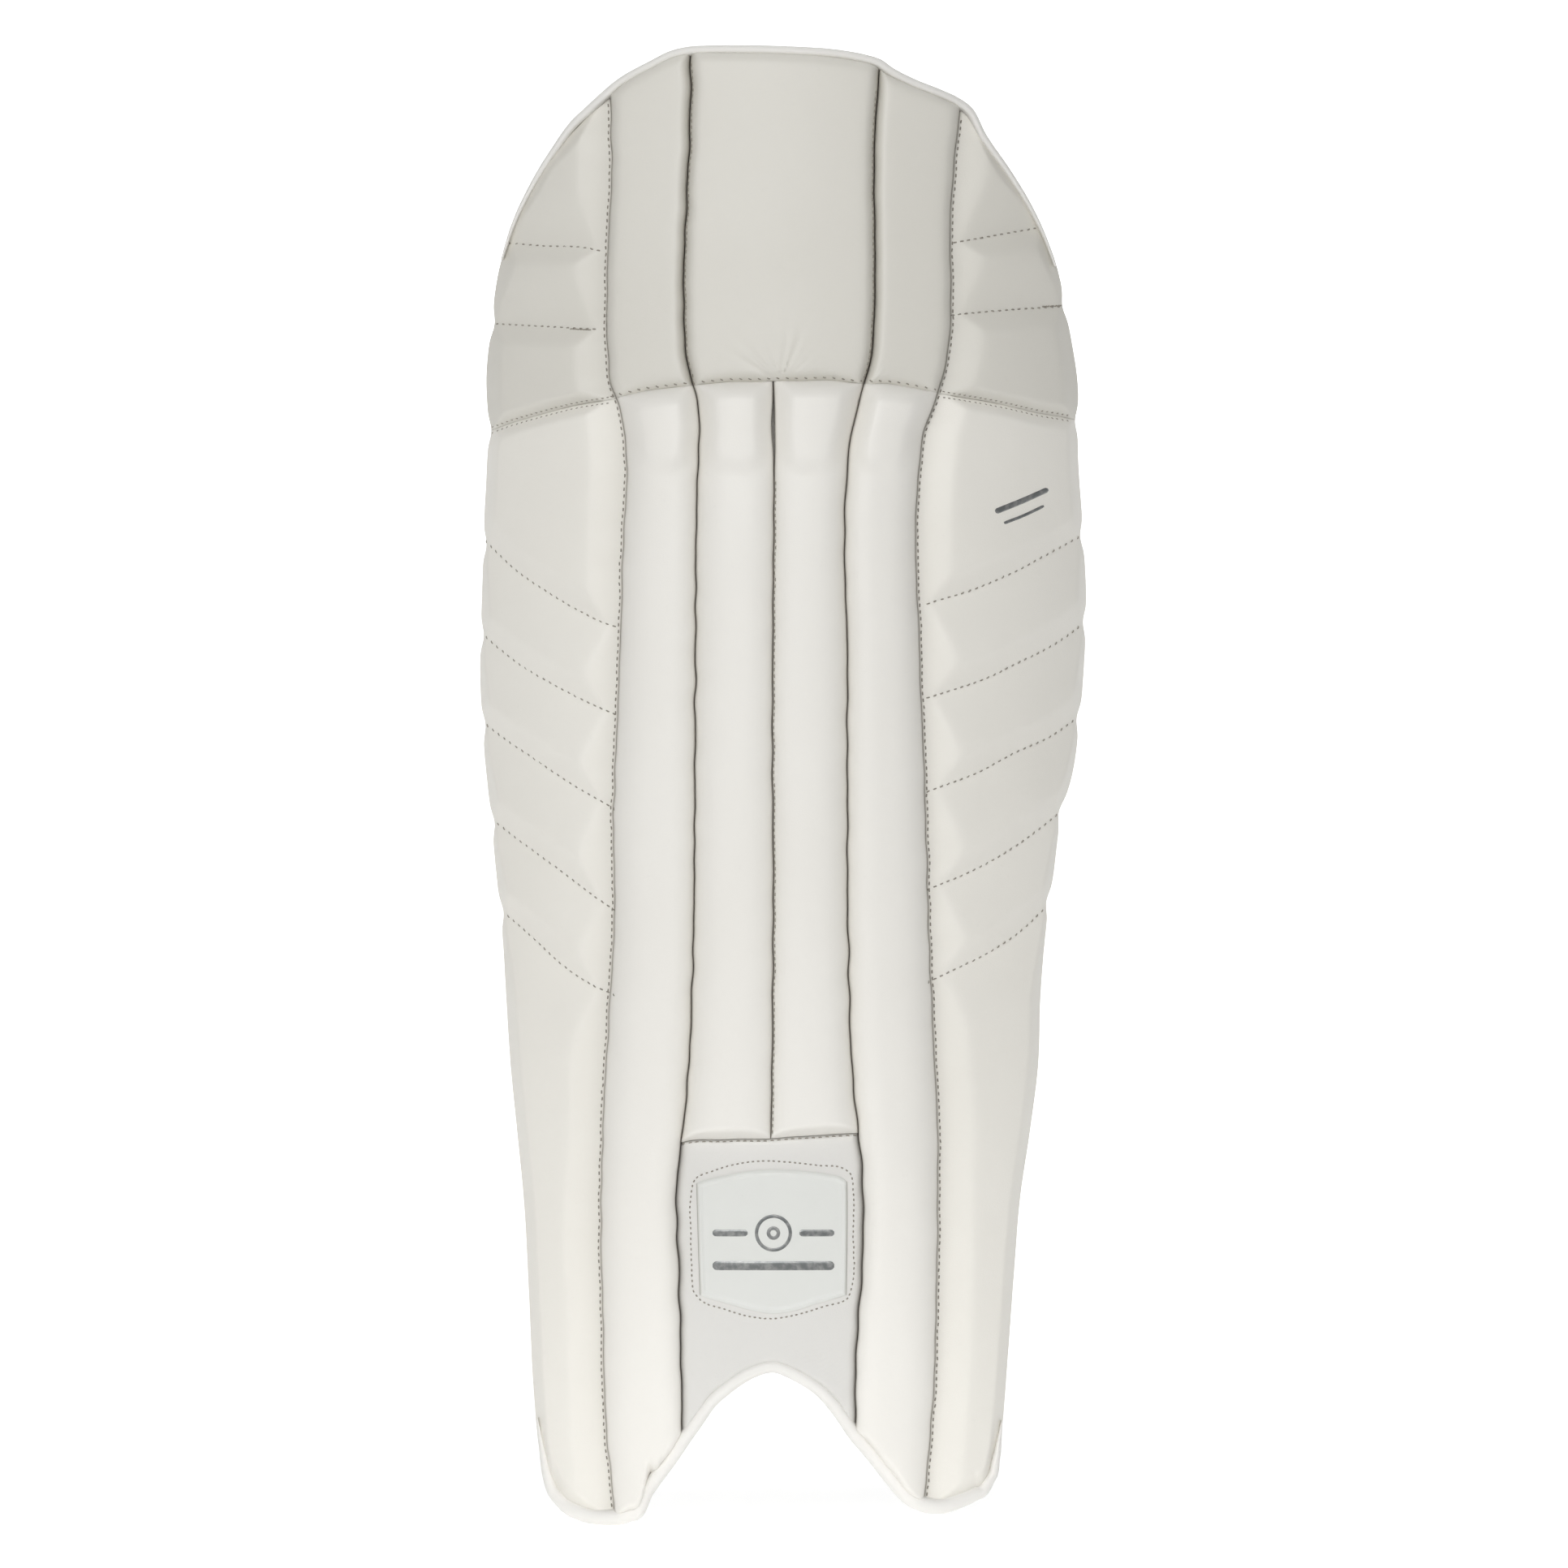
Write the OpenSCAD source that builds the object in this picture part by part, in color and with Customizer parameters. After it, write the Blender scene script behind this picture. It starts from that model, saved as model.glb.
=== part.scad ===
// Wicket-keeping leg pad: upright, front towards -Y, heights measured from the sole.

/* [Body] */
// Height of the leg seat above the sole, where the origin lies
seat_height = 300; // [200:400]
// Radius of the lining behind the shin
shin_radius = 205; // [150:300]
// Half width of the shin arc before the wings begin
shin_half = 70; // [60:80]
// Radius of the wings
wing_radius = 150; // [120:200]
// Sideways centre of the wing arc
wing_cx = 18.8; // [10:0.1:30]
// Depth of the wing arc's centre
wing_cy = 153.3; // [140:0.1:170]

/* [Layers] */
// Thickness of the lining cloth
lining_t = 1.4; // [1:0.1:2]
// Thickness of the leather cover
cover_t = 1.4; // [1:0.1:2]
// Front of the foam sheet behind the rolls
sheet_t = 5.6; // [4:0.1:8]
// Depth of the wing blocks
wing_t = 15; // [12:0.5:18]
// Depth of the wing cover at its quilted grooves
groove_t = 5.4; // [4:0.1:8]
// Depth of the rolls at their seams
roll_side_t = 13; // [10:0.5:18]
// Depth of the rolls at their middle
roll_mid_t = 24; // [18:0.5:28]
// Extra depth of the puff at the top of each roll
puff_t = 3; // [1:0.5:5]
// Height at which the puffs begin
puff_h = 470; // [455:480]
// Depth of the instep panel
instep_t = 12; // [9:0.5:16]
// Depth of the panels above the knee
knee_t = 18; // [14:0.5:22]
// Gap left each side of a seam
seam_gap = 0.9; // [0.6:0.1:2]

/* [Knee] */
// Furthest backward bend at the knee seam, in degrees
knee_bend = 12; // [5:15]
// Gap each side of the knee seam
knee_gap = 1.5; // [1:0.1:3]

/* [Canes and cushions] */
// Radius of one cane rod
cane_r = 3; // [2:0.5:4]
// Spacing of the canes in a roll
cane_pitch = 8.2; // [7.5:0.1:9]
// Depth of the canes in front of the lining's back
cane_depth = 11; // [9:0.5:13]
// Half distance between the two back cushions
bolster_x = 45; // [38:52]
// Half width of a back cushion
bolster_r = 13; // [10:15]
// Depth of a back cushion behind the lining
bolster_d = 22; // [16:26]
// Depth of a knee rest behind the lining
rest_d = 18; // [12:22]

/* [Bindings] */
// Width of the bottom binding
bottom_w = 5; // [4:0.5:8]
// Width of the top binding
top_w = 3.3; // [3:0.1:6]
// Width of the side bindings on the back
side_w = 9; // [6:12]

/* [Straps] */
// Width of a strap
strap_w = 40; // [30:50]
// Thickness of a strap
strap_t = 1.8; // [1.2:0.1:2.5]
// Radius of a ring's bars
bar_r = 1.5; // [1:0.1:2.5]
// Distance between a ring's bars
ring_l = 12; // [9:15]
// Length of a strap's tail
tail_l = 85; // [60:110]

/* [Hidden] */
$fn = 48;
far = 170;
over_all = 700;
skin = 0.2;

// Outline of the pad from the left lobe round to the left edge, [across, height]
OUTLINE = [
  [-97, 8], [-86, 1.5], [-75, 0], [-64, 1.5], [-57, 6], [-54, 14], [-50, 19], [-44, 27],
  [-38, 36], [-32, 44.5], [-26, 53], [-19, 59], [-8, 66.5], [0, 68.5], [7, 66], [14, 62],
  [20, 57.5], [27, 49], [33, 40], [41, 30.5], [50, 19], [58, 10], [66, 6], [75, 5],
  [83, 7], [90, 10], [97, 15], [101, 26], [104, 60], [107, 100], [110.5, 145], [115, 175],
  [119, 205], [122, 262], [129, 318], [135, 335], [139, 378], [141, 405], [139.5, 440],
  [137, 480], [136.5, 515], [133, 534], [127, 563], [114, 592], [106, 606], [95, 620],
  [87, 634], [75, 640], [62, 645], [51, 650], [45, 654], [30, 657], [-2, 659], [-35, 659],
  [-41, 658], [-50, 655], [-69, 645], [-81, 635], [-89, 628], [-99, 615], [-108.5, 600],
  [-118, 580], [-123.5, 560], [-128, 530], [-128.5, 480], [-130, 445], [-132, 380],
  [-130.5, 350], [-124, 290], [-120, 235], [-115, 175], [-112, 145], [-109.5, 100],
  [-107, 55], [-102, 15]];

// Upright seams, [height, across]
SEAM_LO = [[0, -70], [15, -71.6], [37, -74], [90, -76], [147, -76.7], [174, -76], [239, -72.6],
  [261, -71.1], [318, -71.1], [378, -68.8], [438, -66.8], [473, -65.3], [497, -67.7],
  [509, -72.6], [521, -73.8], [552, -74.2], [610, -72], [650, -73]];
SEAM_LI = [[40, -40.5], [76, -41.4], [110, -42.1], [158, -42.7], [176, -40.3], [203, -37.8],
  [247, -36], [320, -34.9], [384, -34.6], [461, -34], [480, -33.1], [503, -34], [508, -36.4],
  [522, -38.9], [546, -39.8], [594, -38.3], [627, -37], [660, -36.9]];
SEAM_M = [[170, -1.4], [203, -0.7], [261, 0], [384, -0.4], [459, 0.3], [507, 0]];
SEAM_RI = [[40, 36.5], [91, 37.8], [110, 39.2], [163, 39.2], [184, 36.7], [217, 34.4], [254, 33.4],
  [384, 32.9], [476, 33.4], [488, 35.3], [508, 40.2], [523, 43.6], [546, 45], [613, 45],
  [647, 47.4]];
SEAM_RO = [[0, 66], [22, 68.2], [56, 71.1], [85, 72], [145, 73.2], [174, 73.2], [199, 72],
  [242, 70], [284, 68.6], [330, 67.2], [384, 65.2], [473, 64.8], [488, 67.2], [505, 73.4],
  [521, 77.3], [540, 79], [575, 78.7], [603, 80.2], [623, 82.1], [650, 86]];

// Seams running across, [across, height]
KNEE = [[-126, 489.5], [-107, 495], [-90, 499], [-72, 502], [-55, 505.5], [-38, 507], [0, 509],
  [19, 510], [40, 508.5], [72, 504.5], [101, 500.5], [135, 494.5]];
INSTEP = [[-41, 170], [-19, 172.5], [5, 173], [38, 175]];

// Quilting lines of the wings from the top down, [across, height]
QUILT_L = [
  [[-128.5, 439], [-115, 426], [-102, 417], [-88, 408.5], [-74.5, 402], [-68, 400.5]],
  [[-130, 397.5], [-115, 385], [-97.5, 374.5], [-83, 367], [-70.5, 361.5]],
  [[-129.5, 357.5], [-120, 350.5], [-105, 340.5], [-91, 331], [-72, 320]],
  [[-124, 313], [-110, 302.5], [-96, 292.5], [-82, 282], [-72, 275]],
  [[-121, 273], [-108.5, 262.5], [-92, 248], [-80, 240.5], [-74.5, 238]]];
QUILT_R = [
  [[69.5, 411], [87, 416.5], [106, 424.5], [125.5, 435], [139, 442.5]],
  [[67.5, 368.5], [78.5, 372], [92, 376.5], [111, 385.5], [126.5, 393.5], [140.5, 403.5]],
  [[67.5, 326.5], [92, 336], [108, 344.5], [124.5, 352], [137, 360.5]],
  [[69, 283.5], [87, 291], [101.5, 298.5], [116, 308], [129.5, 318.5]],
  [[70.5, 243], [79, 247], [96.5, 255.5], [111, 265], [124.5, 277.5]]];

BADGE = [[-34, 153], [-6, 159], [30, 156], [32.5, 152], [32.5, 103], [0, 95.5], [-32.5, 103.5]];

// Straps from the lowest up: height, hinge across, ring across, bow, ring's stand-off
STRAPS = [[115, -108, 76, 66, 6.5], [255, -120, 86, 62, 6.9], [435, -129, 104, 56, 7.8]];

// Depth of the lining's back face across the pad
function back_y(x) = abs(x) <= shin_half
  ? shin_radius - sqrt(pow(shin_radius, 2) - pow(x, 2))
  : wing_cy - sqrt(pow(wing_radius, 2) - pow(abs(x) - wing_cx, 2));
function rev(a) = [for (i = [len(a) - 1:-1:0]) a[i]];
function keys(t, lo, hi) =
  concat([lo], [for (p = t) if (p[0] > lo + 1 && p[0] < hi - 1) p[0]], [hi]);
function upright(t, lo, hi, m) = [for (h = keys(t, lo, hi)) [lookup(h, t) + m, h]];
function level(t, m) = [for (x = keys(t, -far, far)) [x, lookup(x, t) + m]];
function unit(v) = v / norm(v);
function inset(p, d) = [for (i = [0:len(p) - 1])
  let (a = p[(i + len(p) - 1) % len(p)], b = p[(i + 1) % len(p)], t = unit(b - a))
  p[i] + d * [-t[1], t[0]]];

knee_low = [for (p = KNEE) [p[0], p[1] - knee_gap]];
knee_up = [for (p = KNEE) [p[0], p[1] + knee_gap + tan(knee_bend) * back_y(p[0])]];
floor_line = [[-far, -20], [far, -20]];
roof_line = [[-far, over_all], [far, over_all]];

// Flat regions seen from the front
module inside(d) { polygon(inset(OUTLINE, d)); }
module between(a, b, lo, hi, m) {
  polygon(concat(upright(a, lo, hi, m), rev(upright(b, lo, hi, -m))));
}
module outside_of(t, m, edge) {
  polygon(concat([[edge, -20]], upright(t, -20, over_all, m), [[edge, over_all]]));
}
module rows(low, high, m) { polygon(concat(level(low, m), rev(level(high, -m)))); }
module box2(x0, x1, h0, h1) { translate([x0, h0]) square([x1 - x0, h1 - h0]); }

// Solids made from a front region and a depth range
module front() { rotate([90, 0, 0]) linear_extrude(height = 300, center = true) children(); }
module slab(t0, t1, x0, x1) {
  n = ceil((x1 - x0) / 10);
  xs = [for (i = [0:n]) x0 + (x1 - x0) * i / n];
  translate([0, 0, -20]) linear_extrude(height = over_all)
    polygon(concat([for (x = xs) [x, back_y(x) - t0]], rev([for (x = xs) [x, back_y(x) - t1]])));
}
module layer(t0, t1, x0, x1) { intersection() { slab(t0, t1, x0, x1); front() children(); } }
module seated() { translate([0, 0, -seat_height]) children(); }
module crown(c, half, base, drop) {
  us = [-1, -0.75, -0.5, -0.25, 0, 0.25, 0.5, 0.75, 1];
  translate([0, 0, -20]) linear_extrude(height = over_all)
    polygon(concat([for (u = us) [c + half * u, back_y(c + half * u) - base]],
      rev([for (u = us) [c + half * u, back_y(c + half * u) + drop
        - roll_side_t - (roll_mid_t - roll_side_t) * (1 - u * u)]])));
}

// Shin rolls: number 0 to 3 from the left
roll_a = [SEAM_LO, SEAM_LI, SEAM_M, SEAM_RI];
roll_b = [SEAM_LI, SEAM_M, SEAM_RI, SEAM_RO];
roll_c = [-53, -17.5, 17, 51];
roll_half = 23;
module roll_region(i, m) {
  intersection() {
    between(roll_a[i], roll_b[i], -20, over_all, m);
    rows(i == 0 || i == 3 ? floor_line : INSTEP, knee_low, m);
    inside(bottom_w + m);
  }
}
module puff_region(i, m) {
  intersection() {
    between(roll_a[i], roll_b[i], puff_h, over_all, 4 + m);
    rows(floor_line, knee_low, m);
  }
}
module roll_cover(i) {
  open_low = i == 0 || i == 3 ? -20 : 140;
  color("whitesmoke") seated() difference() {
    union() {
      intersection() {
        crown(roll_c[i], roll_half, sheet_t + skin, 0);
        front() roll_region(i, seam_gap);
      }
      intersection() {
        crown(roll_c[i], roll_half, roll_side_t - 2, -puff_t);
        front() puff_region(i, 0);
      }
    }
    intersection() {
      crown(roll_c[i], roll_half, sheet_t - 1, cover_t);
      front() between(roll_a[i], roll_b[i], open_low, over_all, seam_gap + cover_t);
    }
    intersection() {
      crown(roll_c[i], roll_half, roll_side_t - 3, cover_t - puff_t);
      front() puff_region(i, cover_t);
    }
  }
}
cane_c = [-52.4, -17.5, 17, 50.4];
cane_foot = 200;
module canes(i, r) {
  for (k = [-1:1]) let (x = cane_c[i] + k * cane_pitch)
    translate([x, back_y(x) - cane_depth, cane_foot]) cylinder(r = r, h = 455 - cane_foot);
}
module roll_foam(i) {
  color("gainsboro") seated() difference() {
    intersection() {
      crown(roll_c[i], roll_half, sheet_t + skin, cover_t + skin);
      front() roll_region(i, seam_gap + cover_t + skin);
    }
    canes(i, cane_r + skin);
  }
}
module shin_roll_cover_1() { roll_cover(0); }
module shin_roll_cover_2() { roll_cover(1); }
module shin_roll_cover_3() { roll_cover(2); }
module shin_roll_cover_4() { roll_cover(3); }
module shin_roll_foam_1() { roll_foam(0); }
module shin_roll_foam_2() { roll_foam(1); }
module shin_roll_foam_3() { roll_foam(2); }
module shin_roll_foam_4() { roll_foam(3); }
module cane_rods() { color("burlywood") seated() for (i = [0:3]) canes(i, cane_r); }
module knee_roll_pads() {
  color("lightgray") seated() for (i = [0:3]) intersection() {
    difference() {
      crown(roll_c[i], roll_half, roll_side_t - 2, cover_t + skin - puff_t);
      crown(roll_c[i], roll_half + 1, 0, cover_t + skin / 2);
    }
    front() puff_region(i, cover_t + skin);
  }
}

// Backing of the shin
module shin_region(m) {
  intersection() {
    between(SEAM_LO, SEAM_RO, -20, over_all, m);
    rows(floor_line, knee_low, m);
  }
}
module shin_lining() {
  color("dimgray") seated() layer(0, lining_t, -90, 90)
    intersection() { shin_region(0.3); inside(1.6); }
}
module shin_foam_sheet() {
  color("silver") seated() layer(lining_t + skin, sheet_t, -90, 90)
    intersection() { shin_region(1); inside(bottom_w + 1); }
}

// Instep panel and its badge
module instep_region(m) {
  intersection() {
    between(SEAM_LI, SEAM_RI, -20, over_all, m);
    rows(floor_line, INSTEP, m);
    inside(bottom_w + m);
  }
}
module instep_panel() {
  color("whitesmoke") seated() difference() {
    layer(sheet_t + skin, instep_t, -50, 50) instep_region(seam_gap);
    layer(sheet_t - 1, instep_t - cover_t, -50, 50) instep_region(seam_gap + cover_t);
  }
}
module instep_foam() {
  color("gainsboro") seated() layer(sheet_t + skin, instep_t - cover_t - skin, -50, 50)
    instep_region(seam_gap + cover_t + skin);
}
module badge() {
  color("white") seated() layer(instep_t + skin, instep_t + skin + 1.6, -50, 50) polygon(BADGE);
}

// Cushions on the back, open towards the lining
module bolster(s, h0, h1, d) {
  translate([s * bolster_x, back_y(bolster_x), h0]) linear_extrude(height = h1 - h0) {
    translate([0, bolster_d - bolster_r - d]) circle(r = bolster_r - d);
    translate([-bolster_r + d, -10]) square([2 * bolster_r - 2 * d, bolster_d - bolster_r + 10 - d]);
  }
}
module behind(t) { slab(t, t - 60, -90, 90); }
module bolster_cover(s) {
  color("darkgray") seated() difference() {
    intersection() { bolster(s, 90, 440, 0); behind(-skin); }
    bolster(s, 90 + cover_t, 440 - cover_t, cover_t);
  }
}
module bolster_foam(s) {
  color("silver") seated()
    intersection() { bolster(s, 92, 438, cover_t + skin); behind(-skin); }
}
module left_bolster_cover() { bolster_cover(-1); }
module left_bolster_foam() { bolster_foam(-1); }
module right_bolster_cover() { bolster_cover(1); }
module right_bolster_foam() { bolster_foam(1); }
module rest_cover(h0, h1) {
  color("darkgray") seated() difference() {
    layer(-rest_d, -skin, -80, 80) box2(-62, 62, h0, h1);
    layer(-rest_d + cover_t, 5, -80, 80)
      box2(-62 + cover_t, 62 - cover_t, h0 + cover_t, h1 - cover_t);
  }
}
module rest_foam(h0, h1) {
  m = cover_t + skin;
  color("silver") seated() layer(-rest_d + m, -skin, -80, 80)
    box2(-62 + m, 62 - m, h0 + m, h1 - m);
}
module knee_rest_lower_cover() { rest_cover(466, 497); }
module knee_rest_lower_foam() { rest_foam(466, 497); }
module knee_rest_upper_cover() { rest_cover(516, 546); }
module knee_rest_upper_foam() { rest_foam(516, 546); }

// Wings: s is -1 on the left and 1 on the right; six blocks between the quilting lines
module wing_side(s, m) { outside_of(s < 0 ? SEAM_LO : SEAM_RO, s * m, s * far); }
function wing_lines(s) = concat([knee_low], s < 0 ? QUILT_L : QUILT_R, [floor_line]);
module wing_block(s, i, m) {
  intersection() {
    inside(m);
    rows(wing_lines(s)[i + 1], wing_lines(s)[i], m);
    wing_side(s, m);
    box2(-far, far, 14 + m, over_all);
  }
}
module wing_blocks(s, m) { for (i = [0:5]) wing_block(s, i, m); }
module wing_region(s, m) {
  intersection() {
    inside(m);
    rows(floor_line, knee_low, m);
    wing_side(s, m);
    box2(-far, far, 14 + m, over_all);
  }
}
module wing_layer(s, t0, t1) {
  if (s < 0) { layer(t0, t1, -150, -60) children(); }
  else { layer(t0, t1, 60, 150) children(); }
}
module wing_cover(s) {
  color("whitesmoke") seated() difference() {
    union() {
      wing_layer(s, groove_t - cover_t, wing_t) wing_blocks(s, seam_gap);
      wing_layer(s, groove_t - cover_t, groove_t) wing_region(s, 0.6);
    }
    wing_layer(s, groove_t - cover_t - 1, wing_t - cover_t) wing_blocks(s, seam_gap + cover_t);
  }
}
module wing_foam(s) {
  color("gainsboro") seated() {
    wing_layer(s, lining_t + skin, groove_t - cover_t - skin) wing_region(s, 1);
    wing_layer(s, groove_t - cover_t - 1, wing_t - cover_t - skin)
      wing_blocks(s, seam_gap + cover_t + skin);
  }
}
module wing_lining(s) {
  color("dimgray") seated() wing_layer(s, 0, lining_t) intersection() {
    inside(1.6);
    rows(floor_line, knee_low, 0.5);
    wing_side(s, 0.3);
  }
}
module left_wing_cover() { wing_cover(-1); }
module left_wing_foam() { wing_foam(-1); }
module left_wing_lining() { wing_lining(-1); }
module right_wing_cover() { wing_cover(1); }
module right_wing_foam() { wing_foam(1); }
module right_wing_lining() { wing_lining(1); }

// Panels above the knee: trays of leather open at the back, with foam inside
module tray(t, x0, x1) {
  difference() {
    layer(lining_t + skin, t, x0, x1) intersection() { children(0); inside(top_w + 0.5); }
    layer(lining_t - 1, t - cover_t, x0, x1)
      intersection() { children(1); inside(top_w + 0.5 + cover_t); }
  }
}
module filling(t, x0, x1) {
  layer(lining_t + skin, t - cover_t - skin, x0, x1)
    intersection() { children(); inside(top_w + 0.5 + cover_t + skin); }
}
module knee_part(a, b, m) {
  intersection() {
    between(a, b, 480, over_all, m);
    rows(knee_up, roof_line, m);
  }
}
module top_wing(s, m) { intersection() { wing_side(s, m); rows(knee_up, roof_line, m); } }
g = seam_gap;
module knee_centre_cover() {
  color("whitesmoke") seated() tray(knee_t, -50, 60) {
    knee_part(SEAM_LI, SEAM_RI, g);
    knee_part(SEAM_LI, SEAM_RI, g + cover_t);
  }
}
module knee_centre_foam() {
  color("gainsboro") seated() filling(knee_t, -50, 60)
    knee_part(SEAM_LI, SEAM_RI, g + cover_t + skin);
}
module knee_left_strip_cover() {
  color("whitesmoke") seated() tray(knee_t - 1, -85, -25) {
    knee_part(SEAM_LO, SEAM_LI, g);
    knee_part(SEAM_LO, SEAM_LI, g + cover_t);
  }
}
module knee_left_strip_foam() {
  color("gainsboro") seated() filling(knee_t - 1, -85, -25)
    knee_part(SEAM_LO, SEAM_LI, g + cover_t + skin);
}
module knee_right_strip_cover() {
  color("whitesmoke") seated() tray(knee_t - 1, 25, 95) {
    knee_part(SEAM_RI, SEAM_RO, g);
    knee_part(SEAM_RI, SEAM_RO, g + cover_t);
  }
}
module knee_right_strip_foam() {
  color("gainsboro") seated() filling(knee_t - 1, 25, 95)
    knee_part(SEAM_RI, SEAM_RO, g + cover_t + skin);
}
module left_top_wing_cover() {
  color("whitesmoke") seated() tray(wing_t, -150, -60) {
    top_wing(-1, g);
    top_wing(-1, g + cover_t);
  }
}
module left_top_wing_foam() {
  color("gainsboro") seated() filling(wing_t, -150, -60) top_wing(-1, g + cover_t + skin);
}
module right_top_wing_cover() {
  color("whitesmoke") seated() tray(wing_t, 60, 150) {
    top_wing(1, g);
    top_wing(1, g + cover_t);
  }
}
module right_top_wing_foam() {
  color("gainsboro") seated() filling(wing_t, 60, 150) top_wing(1, g + cover_t + skin);
}
module knee_lining() {
  color("dimgray") seated() layer(0, lining_t, -90, 90)
    intersection() { knee_part(SEAM_LO, SEAM_RO, 0.3); inside(1.6); }
}
module left_top_wing_lining() {
  color("dimgray") seated() layer(0, lining_t, -150, -60)
    intersection() { top_wing(-1, 0.3); inside(1.6); }
}
module right_top_wing_lining() {
  color("dimgray") seated() layer(0, lining_t, 60, 150)
    intersection() { top_wing(1, 0.3); inside(1.6); }
}

// Bindings: a channel round the edge, open inwards
module rim(w) { difference() { inside(0); inside(w); } }
module channel(t, w, x) {
  difference() {
    layer(-cover_t, t, -x, x) intersection() { rim(w); children(0); }
    layer(-skin / 2, t - cover_t, -x, x) intersection() {
      difference() { inside(cover_t); inside(w + 2); }
      children(0);
    }
  }
}
module bottom_binding() {
  color("white") seated() channel(instep_t, bottom_w, 120) union() {
    box2(-112, 112, -20, 13);
    box2(-62, 62, -20, 80);
  }
}
module top_binding() {
  color("white") seated() channel(wing_t, top_w, 120) box2(-far, far, 600, over_all);
}
module side_bindings() {
  color("whitesmoke") seated() layer(-1.3, -skin / 2, -150, 150) intersection() {
    difference() { inside(0.4); inside(side_w); }
    difference() { box2(-far, far, 24, 478); box2(-85, 85, -20, over_all); }
  }
}

// Straps: arcs round the back of the leg, from a hinge on the left to a ring on the right
function hinge_p(s) = [s[1], back_y(s[1]) + 2.5];
function ring_p(s) = [s[2], back_y(s[2]) + s[4]];
function chord(s) = norm(ring_p(s) - hinge_p(s));
function bow_r(s) = (pow(chord(s) / 2, 2) + pow(s[3], 2)) / (2 * s[3]);
function bow_c(s) = let (d = (ring_p(s) - hinge_p(s)) / chord(s))
  (hinge_p(s) + ring_p(s)) / 2 - (bow_r(s) - s[3]) * [-d[1], d[0]];
function angle_of(s, p) = let (v = p - bow_c(s)) atan2(v[1], v[0]);
function turn(s, l) = l / bow_r(s) * 180 / PI;
curl_in = bar_r + skin;
bar_off = curl_in + strap_t / 2;
function bar_b(s) = angle_of(s, ring_p(s));
function bar_a(s) = bar_b(s) + turn(s, ring_l);

module arc(s, r0, r1, a0, a1, w) {
  translate([bow_c(s)[0], bow_c(s)[1], s[0]]) rotate([0, 0, a0])
    rotate_extrude(angle = a1 - a0, $fn = 180)
      translate([bow_r(s) + r0, -w / 2]) square([r1 - r0, w]);
}
module at_bar(s, a) {
  translate(concat(bow_c(s) + (bow_r(s) + bar_off) * [cos(a), sin(a)], [s[0]]))
    rotate([0, 0, a - 90]) children();
}
module curl(w, a0, a1) {
  rotate([0, 0, a0]) rotate_extrude(angle = a1 - a0)
    translate([curl_in + 0.1, -w / 2]) square([strap_t - skin, w]);
}
module loop(w) {
  difference() {
    cylinder(r = curl_in + strap_t, h = w, center = true);
    cylinder(r = curl_in, h = w + 1, center = true);
  }
}
module band(s) {
  h = strap_t / 2;
  a = bar_a(s);
  color("ivory") seated() {
    arc(s, -h, h, a + turn(s, 3.9), angle_of(s, hinge_p(s)) - turn(s, 0.5), strap_w);
    arc(s, h - 0.1, h + 1.5, a + turn(s, 9), a + turn(s, tail_l + 10), strap_w - 4);
  }
}
module ring(s) {
  color("dimgray") seated() {
    at_bar(s, bar_a(s)) translate([0, 0, -23]) cylinder(r = bar_r, h = 46);
    at_bar(s, bar_b(s)) translate([0, 0, -23]) cylinder(r = bar_r, h = 46);
    for (z = [-23, 23]) at_bar(s, (bar_a(s) + bar_b(s)) / 2) translate([-ring_l / 2 - 1, 0, z])
      rotate([0, 90, 0]) cylinder(r = bar_r, h = ring_l + 2);
  }
}
module tab(s) {
  x0 = (bow_c(s) + (bow_r(s) + bar_off) * [cos(bar_b(s)), sin(bar_b(s))])[0];
  color("ivory") seated() {
    at_bar(s, bar_b(s)) loop(strap_w - 6);
    layer(-3.6, -1.8, x0 + 0.5, x0 + 16) box2(0, far, s[0] - 18, s[0] + 18);
  }
}
module tail(s) {
  a = bar_a(s);
  r = bar_off + curl_in;
  color("ivory") seated() {
    at_bar(s, a) curl(strap_w - 3, -150, 96);
    arc(s, r, r + strap_t, a, a + turn(s, tail_l), strap_w - 2);
    arc(s, r - 1.5, r + 0.1, a + turn(s, 9), a + turn(s, tail_l - 12), strap_w - 6);
  }
}
module strap_lower_band() { band(STRAPS[0]); }
module strap_lower_ring() { ring(STRAPS[0]); }
module strap_lower_tab() { tab(STRAPS[0]); }
module strap_lower_tail() { tail(STRAPS[0]); }
module strap_middle_band() { band(STRAPS[1]); }
module strap_middle_ring() { ring(STRAPS[1]); }
module strap_middle_tab() { tab(STRAPS[1]); }
module strap_middle_tail() { tail(STRAPS[1]); }
module strap_upper_band() { band(STRAPS[2]); }
module strap_upper_ring() { ring(STRAPS[2]); }
module strap_upper_tab() { tab(STRAPS[2]); }
module strap_upper_tail() { tail(STRAPS[2]); }
module strap_anchors() {
  color("ivory") seated() for (s = STRAPS) layer(-3.4, -1.6, s[1] + 2.5, s[1] + 28)
    box2(-far, 0, s[0] - 21, s[0] + 21);
}
module landing_patches() {
  color("gray") seated() for (s = STRAPS) layer(-1.5, -0.3, s[2] - 2, s[2] + 20)
    box2(0, far, s[0] - 21, s[0] + 21);
}

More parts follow.
